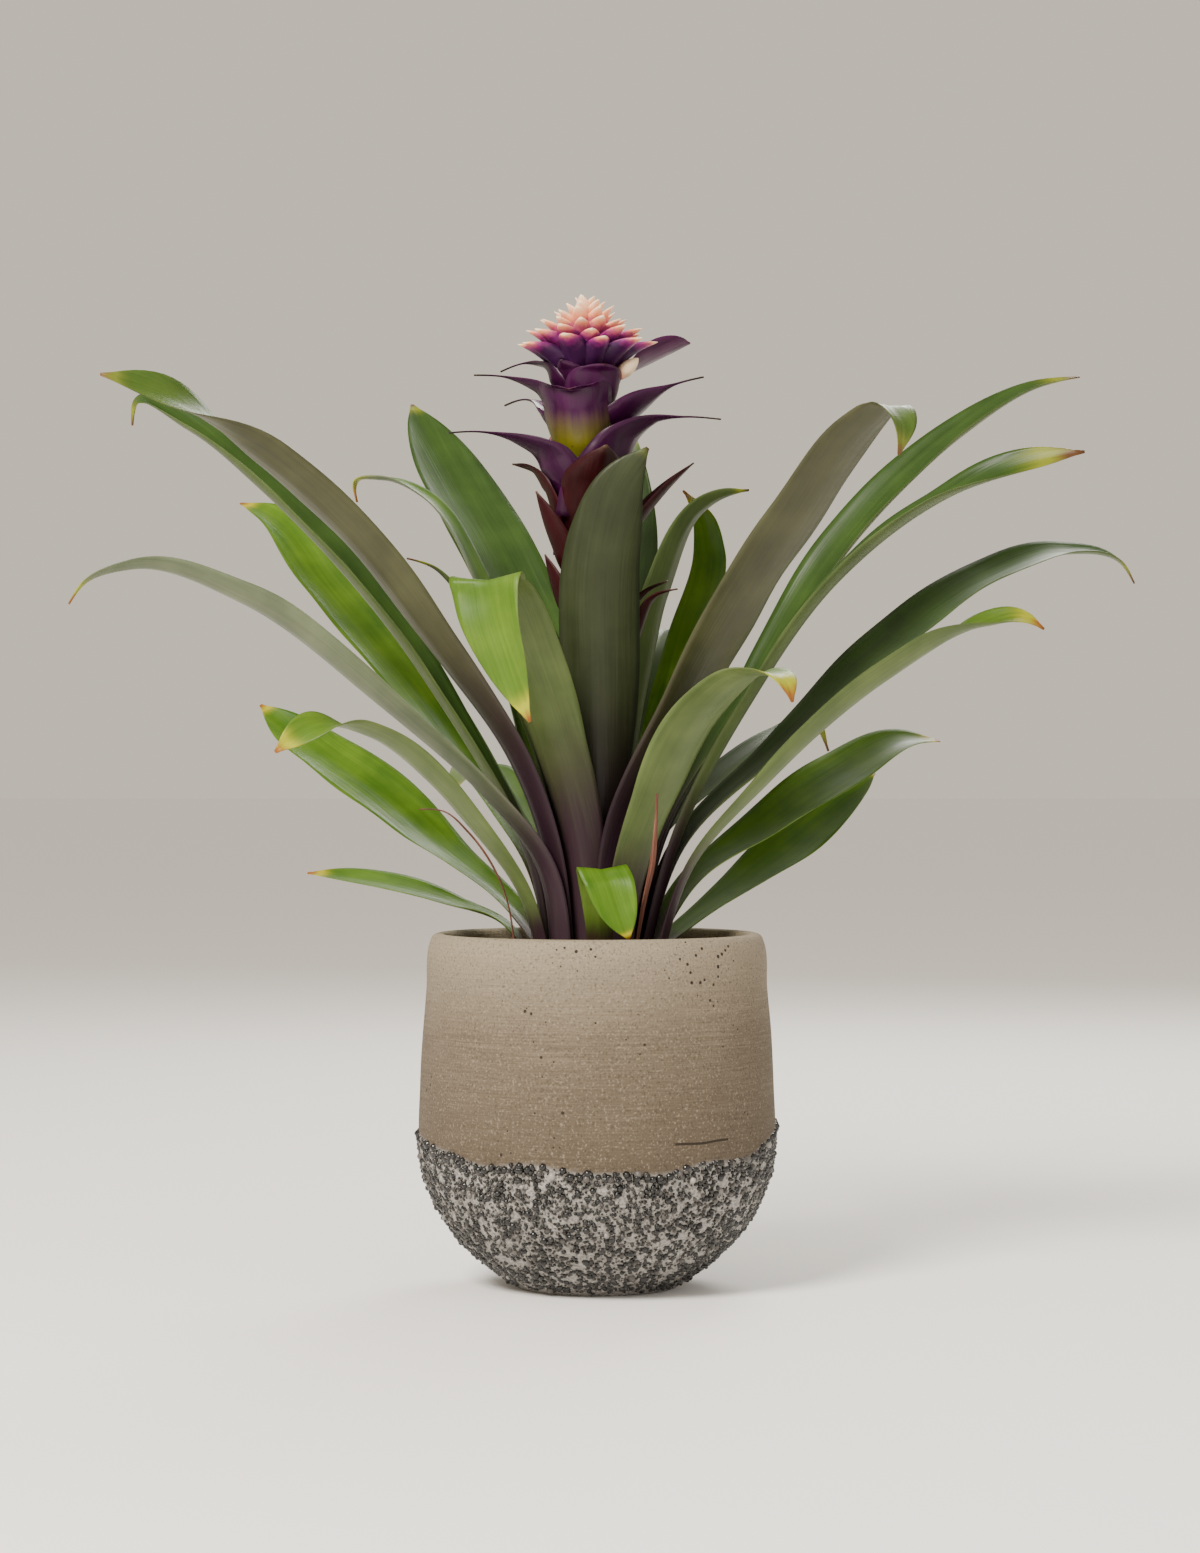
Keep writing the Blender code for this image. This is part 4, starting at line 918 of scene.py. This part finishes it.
def build_grit():
    """Every grain as a low dome, all in one mesh. Each has one tone for its material."""
    places, facings, sizes = scatter_grains()
    points, faces, tones = [], [], []
    for place, facing, size in zip(places, facings, sizes):
        first = len(points)
        side = facing.orthogonal().normalized()
        other = facing.cross(side)
        squash = chance.uniform(0.75, 1.2)
        points.append(place + facing * size * squash)
        for radius, height in DOME[1:]:
            for index in range(DOME_SIDES):
                angle = tau * index / DOME_SIDES
                points.append(place + (side * cos(angle) + other * sin(angle)) * radius * size
                              + facing * height * size * squash)
        for index in range(DOME_SIDES):
            beside = (index + 1) % DOME_SIDES
            faces.append((first, first + 1 + index, first + 1 + beside))
            for ring in range(len(DOME) - 2):
                low, high = first + 1 + (ring + 1) * DOME_SIDES, first + 1 + ring * DOME_SIDES
                faces.append((high + index, low + index, low + beside, high + beside))
        tones += [chance.beta(1.3, 2.6)] * (1 + (len(DOME) - 1) * DOME_SIDES)
    grit = new_piece("pot_grit", [tuple(point) for point in points], faces, slag)
    give(grit, "grain", tones)
    return len(places), len(faces)


print("grains and faces:", build_grit())

# %% [markdown]
# ## Potting mix
#
# Bromeliads are potted in an open mix of bark and coir.  From above it shows as a dark,
# lumpy surface with chips of bark on it, so the soil is a roughened disc and the chips
# are small broken slabs scattered over it.

# %% The soil
def potting_mix(name, dark, pale, grain):
    """Damp bark and coir: matt, dark brown, mottled at the size of its crumbs."""
    material, shader = new_material(name, Roughness=0.92, IOR=1.4)
    place = add(material, "TexCoord")
    crumbs = add(material, "TexNoise", {"Vector": place.outputs["Object"], "Scale": 1 / (grain * MM),
                                        "Detail": 5.0})
    colour = add(material, "ValToRGB", {0: crumbs.outputs[0]}, stops=[(0.35, srgb(dark)), (0.7, srgb(pale))])
    wire(material, colour.outputs[0], shader.inputs["Base Color"])
    bump = add(material, "Bump", {"Height": crumbs.outputs[0], "Strength": 1.0, "Distance": 0.8 * MM})
    wire(material, bump.outputs[0], shader.inputs["Normal"])
    return material


SOIL_TOP = 166.0              # heights and radii of the soil, mm
SOIL_BOTTOM = 12.0
SOIL_RADIUS = 75.2
SOCKET_RADIUS = 9.6           # the socket that the crown stands in
SOCKET_BOTTOM = 146.0
SOIL_RINGS = 54
SOIL_STEPS = 144


def crumbled(points, angles):
    """The top is lumpy, except close to the socket."""
    top = (points[..., 2] > SOIL_TOP - 0.5) & (np.hypot(points[..., 0], points[..., 1]) > SOCKET_RADIUS + 0.9)
    lift = 1.2 * lumps(points, 9.0) + 0.9 * lumps(points, 3.4) - 0.3
    points[..., 2] += np.where(top, lift, 0.0)
    return points


rings = [(radius, SOIL_TOP) for radius in np.linspace(SOIL_RADIUS, SOCKET_RADIUS, SOIL_RINGS)]
soil_profile = np.array([(CLOSED, SOIL_BOTTOM), (30.0, SOIL_BOTTOM), (70.0, 45.0), (76.0, 90.0),
                         (SOIL_RADIUS, 150.0)] + rings
                        + [(SOCKET_RADIUS - 0.1, SOCKET_BOTTOM), (CLOSED, SOCKET_BOTTOM)])
damp_mix = potting_mix("damp_potting_mix", "1A110B", "4A3524", 2.2)
soil = swept("potting_mix", soil_profile, SOIL_STEPS, damp_mix, roughen=crumbled)
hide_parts("potting_soil")
print("soil:", len(soil.data.polygons), "faces")

# %% Bark chips
BARK_CHIPS = 240
BARK_REACH = 73.0             # farthest middle of a chip from the axis, mm
CHIP_CORNERS = 5
CHIP_WIDTH = 0.6              # width and thickness of a chip, as shares of its length
CHIP_THICKNESS = 0.45


def build_bark():
    """Flat five-cornered chips, lying at odd angles on the soil, all in one mesh."""
    points, faces = [], []
    for _ in range(BARK_CHIPS):
        first = len(points)
        radius, angle = BARK_REACH * chance.uniform(0.2, 1.0) ** 0.6, chance.uniform(0.0, tau)
        turn, size = chance.uniform(0.0, tau), chance.uniform(1.6, 4.2)
        centre = Vector((radius * cos(angle), radius * sin(angle), SOIL_TOP + chance.uniform(0.0, 0.8)))
        tilt = Vector((chance.normal(0, 0.3), chance.normal(0, 0.3), 1.0)).normalized()
        level_side = Vector((cos(turn), sin(turn), 0.0))
        side = (level_side - tilt * tilt.dot(level_side)).normalized()
        other = tilt.cross(side)
        for level in (-0.5, 0.5):
            for corner in range(CHIP_CORNERS):
                swing = tau * corner / CHIP_CORNERS + chance.uniform(-0.3, 0.3)
                reach = size * chance.uniform(0.7, 1.15)
                points.append(centre + side * cos(swing) * reach + other * sin(swing) * reach * CHIP_WIDTH
                              + tilt * level * size * CHIP_THICKNESS)
        below = [first + corner for corner in range(CHIP_CORNERS)]
        above = [corner + CHIP_CORNERS for corner in below]
        faces += [below[::-1], above]
        faces += [[below[index], below[(index + 1) % CHIP_CORNERS], above[(index + 1) % CHIP_CORNERS],
                   above[index]] for index in range(CHIP_CORNERS)]
    chips = new_piece("bark_chips", [tuple(point) for point in points], faces,
                      potting_mix("bark_chip", "2A1A10", "7A573A", 1.4), smooth=False)
    return chips


print("bark chips:", len(build_bark().data.polygons), "faces")

# %% [markdown]
# ## Flower stem and crown
#
# The flower stem is a fleshy, dark maroon stalk, faintly ribbed.  The crown that the
# leaves grow from is hidden among their feet, so its CAD solid stays and only takes a
# skin.

# %% The stem and the crown
def stalk_skin():
    """Fleshy stalk: satin maroon, mottled with green along its ribs."""
    material, shader = new_material("fleshy_stalk", Roughness=0.42, IOR=1.42)
    place = add(material, "TexCoord")
    along = add(material, "Mapping", {"Vector": place.outputs["Object"],
                                      "Scale": (1 / (1.5 * MM), 1 / (1.5 * MM), 1 / (30 * MM))})
    ribs = add(material, "TexNoise", {"Vector": along.outputs[0], "Scale": 1.0, "Detail": 3.0})
    colour = add(material, "ValToRGB", {0: ribs.outputs[0]},
                 stops=[(0.3, srgb("2C1418")), (0.6, srgb("4A2428")), (0.85, srgb("5E5A34"))])
    wire(material, colour.outputs[0], shader.inputs["Base Color"])
    bump = add(material, "Bump", {"Height": ribs.outputs[0], "Strength": 0.6, "Distance": 0.4 * MM})
    wire(material, bump.outputs[0], shader.inputs["Normal"])
    return material


STEM_RADIUS = 5.2             # mm
STEM_FOOT = 172.4
STEM_TOP = 460.0
STEM_RIBS = 8
stalk = stalk_skin()


def ribbed(points, angles):
    """Shallow ribs up the stem, cut into its radius."""
    radial = np.stack([np.cos(angles), np.sin(angles), np.zeros_like(angles)], axis=-1)
    return points + radial[None] * (0.22 * np.cos(angles * STEM_RIBS) - 0.25)[None, :, None]


stem_sides = [(STEM_RADIUS, level) for level in np.linspace(STEM_FOOT, STEM_TOP, 60)]
stem_profile = np.array([(CLOSED, STEM_FOOT)] + stem_sides + [(CLOSED, STEM_TOP)])
stem = swept("flower_stalk", stem_profile, 32, stalk, roughen=ribbed, axis_at=stem_axis)
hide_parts("flower_stem")
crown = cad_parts["root_crown"]
crown.data.materials.clear()
crown.data.materials.append(stalk)
print("stem:", len(stem.data.polygons), "faces; crown keeps its CAD solid")

# %% [markdown]
# ## The flower head
#
# The head is a dome of small fleshy bracts in rings, like a pine cone that has just
# opened.  Each is a thick scale: magenta at its foot, fading to a cream-peach, pointed
# tip that leans outward.  The lowest are the longest and lean out the most.  The real
# flowers stay hidden between them.

# %% The small bracts' material
MOTTLE = 3.0 * MM             # size of the soft blotches in the blush


def petal_skin():
    """Fleshy petal: soft satin, magenta at the foot and cream-peach at the tip."""
    material, shader = new_material("peach_tipped_bract", Roughness=0.45, IOR=1.42, Subsurface_Weight=0.12,
                                    Subsurface_Scale=2.0 * MM)
    rise = add(material, "Attribute", attribute_name="rise")
    place = add(material, "TexCoord")
    soft = add(material, "TexNoise", {"Vector": place.outputs["Object"], "Scale": 1 / MOTTLE, "Detail": 3.0})
    streak = add(material, "Math", {0: soft.outputs[0], 1: 0.5}, operation="SUBTRACT")
    level = add(material, "Math", {0: streak.outputs[0], 1: 0.35, 2: rise.outputs["Fac"]},
                operation="MULTIPLY_ADD")
    colour = add(material, "ValToRGB", {0: level.outputs[0]},
                 stops=[(0.1, srgb("360A3C")), (0.3, srgb("7C1C66")), (0.5, srgb("C25A74")),
                        (0.68, srgb("F7A578")), (0.95, srgb("FFE0BC"))])
    wire(material, colour.outputs[0], shader.inputs["Base Color"])
    bump = add(material, "Bump", {"Height": soft.outputs[0], "Strength": 0.4, "Distance": 0.4 * MM})
    wire(material, bump.outputs[0], shader.inputs["Normal"])
    return material


peach_tip = petal_skin()
print("material:", peach_tip.name)

# %% The small bracts
# count of bracts, radius and height of their feet, lean in degrees, size in mm, how pink the
# foot is (blush), and how late along the bract the peach starts (sharp)
HeadTier = namedtuple("HeadTier", "count ring height lean length width blush sharp")
HEAD_TIERS = [
    HeadTier(10, 9.5, 453.5, 44.0, 37.0, 14.5, 0.00, 6.0),
    HeadTier(11, 8.0, 458.0, 37.0, 34.0, 13.0, 0.06, 4.2),
    HeadTier(11, 6.6, 463.0, 29.0, 30.0, 11.5, 0.14, 3.0),
    HeadTier(9, 5.0, 468.5, 21.0, 26.5, 10.5, 0.22, 2.2),
    HeadTier(7, 3.4, 474.5, 12.0, 22.0, 9.5, 0.32, 1.6),
    HeadTier(5, 1.8, 480.0, 4.0, 18.0, 8.0, 0.42, 1.3),
]
SCALE_SIDES = 16
SCALE_ROWS = 14
WIDEST = 0.6                  # where along its length a bract is widest
BURIED = 0.15                 # share of its length that is hidden in the head
PLUMP = 0.17                  # half thickness, as a share of the width
CUPPED = 0.07                 # how deeply it is cupped, per mm
FLARE = 0.3                   # how far its tip leans out past its foot, radians

# How each end narrows from the widest place: its reach in lengths, and two powers that make
# it blunt or sharp.
BractEnd = namedtuple("BractEnd", "reach power root")
FOOT_END = BractEnd(0.78, 2.6, 0.6)
TIP_END = BractEnd(0.41, 1.9, 0.8)


def scale_points(place, lean, azimuth, length, width, tier, points, rises, faces):
    """One thick bract: a flattened bead, cupped toward the axis, whose tip flares outward."""
    first = len(points)
    for row in range(SCALE_ROWS + 1):
        share = row / SCALE_ROWS
        end = TIP_END if share > WIDEST else FOOT_END
        girth = max(1.0 - abs((share - WIDEST) / end.reach) ** end.power, 0.02) ** end.root
        slim = 1.0 - 0.1 * share
        for side in range(SCALE_SIDES):
            swing = tau * side / SCALE_SIDES
            y = 0.5 * width * slim * girth * sin(swing)
            x = PLUMP * width * slim * girth * cos(swing) - CUPPED * y * y
            z = (share - BURIED) * length
            tilt = lean + FLARE * (share * share - 0.3)
            forward = x * cos(tilt) + z * sin(tilt)
            upward = z * cos(tilt) - x * sin(tilt)
            points.append((place[0] + forward * cos(azimuth) - y * sin(azimuth),
                           place[1] + forward * sin(azimuth) + y * cos(azimuth), place[2] + upward))
            rises.append(tier.blush + (1.0 - tier.blush) * share ** tier.sharp)
    faces += tube_faces(first, SCALE_ROWS, SCALE_SIDES)
    faces.append([first + side for side in reversed(range(SCALE_SIDES))])
    faces.append([first + SCALE_ROWS * SCALE_SIDES + side for side in range(SCALE_SIDES)])


def tube_faces(first, rows, sides):
    """Quads between rings of points. The first point is numbered first."""
    return [(low + side, low + (side + 1) % sides, low + sides + (side + 1) % sides, low + sides + side)
            for low in range(first, first + rows * sides, sides) for side in range(sides)]


def head_object(name, points, rises, faces):
    """A piece of the flower head. rises says how far each point is from violet to peach."""
    piece = new_piece(name, points, faces, peach_tip)
    give(piece, "rise", rises)
    return piece


# %% The head
points, rises, faces = [], [], []
for number, tier in enumerate(HEAD_TIERS):
    centre = stem_axis(tier.height)
    for index in range(tier.count):
        azimuth = tau * (index + 0.5 * (number % 2)) / tier.count + chance.normal(0.0, 0.06)
        place = (centre[0] + tier.ring * cos(azimuth), centre[1] + tier.ring * sin(azimuth), tier.height)
        lean = radians(tier.lean + chance.normal(0.0, 3.0))
        length = tier.length * chance.uniform(0.92, 1.03)
        width = tier.width * chance.uniform(0.92, 1.08)
        scale_points(place, lean, azimuth, length, width, tier, points, rises, faces)

# A plain core, as (radius, height) in mm, fills the middle, so that no gap shows between the
# bracts' feet.
HEART = [(CLOSED, 446.0), (8.0, 447.0), (12.0, 455.0), (11.5, 466.0), (8.0, 477.0), (3.0, 484.0),
         (CLOSED, 485.0)]
HEART_RISE = 0.1
heart = swept("flower_head_heart", smooth_path(HEART, 30)[0][:, :2], 40, peach_tip, axis_at=stem_axis)
give(heart, "rise", [HEART_RISE] * len(heart.data.vertices))
head = head_object("flower_head_bracts", points, rises, faces)
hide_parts("flower_head")
print("head bracts:", sum(tier.count for tier in HEAD_TIERS))

# %% [markdown]
# ## The side bud
#
# A second bud pushes out beside the head.  It is still closed: a club-shaped bundle of
# cream bracts on a short magenta stalk.

# %% The side bud
BUD_FOOT = 446.0              # mm
BUD_START = 7.5               # distance from the stem's axis
BUD_AZIMUTH = radians(346.0)
BUD_LEAN = radians(50.0)
BUD_LENGTH = 26.0
BUD_WIDTH = 8.0
BUD_ROWS = 26
BUD_SIDES = 28
BUD_SPIRAL = 0.8              # radians that the folded bracts wind round the bud
PLEAT_DEPTH = 0.09

points, rises = [], []
centre = stem_axis(BUD_FOOT)
for row in range(BUD_ROWS + 1):
    share = row / BUD_ROWS
    swell = BUD_WIDTH * (0.45 + 0.75 * ease((share - 0.3) / 0.5)) * max(sin(pi * share) ** 0.6, 0.03)
    for side in range(BUD_SIDES):
        swing = tau * side / BUD_SIDES + BUD_SPIRAL * share
        pleat = 1.0 - PLEAT_DEPTH * abs(sin(swing * 1.5 - BUD_SPIRAL * share)) ** 0.5
        x, y = 0.5 * swell * pleat * cos(swing), 0.5 * swell * pleat * sin(swing)
        forward = BUD_START + x * cos(BUD_LEAN) + share * BUD_LENGTH * sin(BUD_LEAN)
        points.append((centre[0] + forward * cos(BUD_AZIMUTH) - y * sin(BUD_AZIMUTH),
                       centre[1] + forward * sin(BUD_AZIMUTH) + y * cos(BUD_AZIMUTH),
                       BUD_FOOT + share * BUD_LENGTH * cos(BUD_LEAN) - x * sin(BUD_LEAN)))
        rises.append(0.2 + 1.1 * share)
faces = tube_faces(0, BUD_ROWS, BUD_SIDES)
bud = head_object("side_flower_bud_bracts", points, rises, faces)
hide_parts("side_flower_bud")
print("side bud:", len(faces), "faces")

# %% [markdown]
# ## Floor, light and camera
#
# A plain pale floor and three large, soft lamps show the piece without drama: the key
# lamp is high at the front left, a weaker one fills from the right, and one behind lifts
# the leaf margins off the background.  The camera is level with the middle of the plant.
# The floor is far wider than the view, so that its corners never show.

# %% Lamps and air
def area_lamp(name, place, size, power, colour):
    """A round lamp, size metres wide, aimed at the middle of the plant."""
    lamp = bpy.data.lights.new(name, "AREA")
    lamp.shape = "DISK"
    lamp.size = size
    lamp.energy = power
    lamp.color = srgb(colour)[:3]
    holder = bpy.data.objects.new(name, lamp)
    holder.location = place
    holder.rotation_euler = (Vector(PLANT_MIDDLE) - Vector(place)).to_track_quat("-Z", "Y").to_euler()
    bpy.context.scene.collection.objects.link(holder)


PLANT_MIDDLE = (0.0, 0.0, 0.25)
area_lamp("key_lamp", (-0.95, -1.5, 1.7), 0.8, 98.0, "FFF8EE")
area_lamp("fill_lamp", (1.6, -1.2, 0.9), 1.2, 6.0, "F3F6FF")
area_lamp("back_lamp", (0.5, 1.6, 1.5), 1.0, 30.0, "FFFDF8")

world = bpy.data.worlds.new("studio_air")
world.use_nodes = True
world.node_tree.nodes["Background"].inputs["Color"].default_value = srgb("E0D6C6")
world.node_tree.nodes["Background"].inputs["Strength"].default_value = 1.0
bpy.context.scene.world = world
print("lamps:", [light.name for light in bpy.data.lights])

# %% The floor
FLOOR_HALF = 40.0             # metres

floor_material, floor_shader = new_material("pale_paper", Roughness=0.8)
floor_shader.inputs["Base Color"].default_value = srgb("FAF9F7")
floor_mesh = bpy.data.meshes.new("floor")
floor_corners = [(x * FLOOR_HALF, y * FLOOR_HALF, 0.0) for x, y in ((-1, -1), (1, -1), (1, 1), (-1, 1))]
floor_mesh.from_pydata(floor_corners, [], [(0, 1, 2, 3)])
floor_mesh.materials.append(floor_material)
floor = bpy.data.objects.new("floor", floor_mesh)
bpy.context.scene.collection.objects.link(floor)
print("floor:", 2 * FLOOR_HALF, "m wide")

# %% The camera
CAMERA_DISTANCE = 1.83
CAMERA_HEIGHT = 0.2543
CAMERA_ASIDE = 0.0015
FRAME_HEIGHT = 0.7765         # height of the view at the plant's axis, metres
SENSOR = 36.0
lens = bpy.data.cameras.new("level_camera")
lens.sensor_width = SENSOR
lens.lens = SENSOR * CAMERA_DISTANCE / FRAME_HEIGHT
camera = bpy.data.objects.new("level_camera", lens)
camera.location = (CAMERA_ASIDE, -CAMERA_DISTANCE, CAMERA_HEIGHT)
camera.rotation_euler = (pi / 2, 0.0, 0.0)
bpy.context.scene.collection.objects.link(camera)
bpy.context.scene.camera = camera
print("lens:", round(lens.lens, 1), "mm")
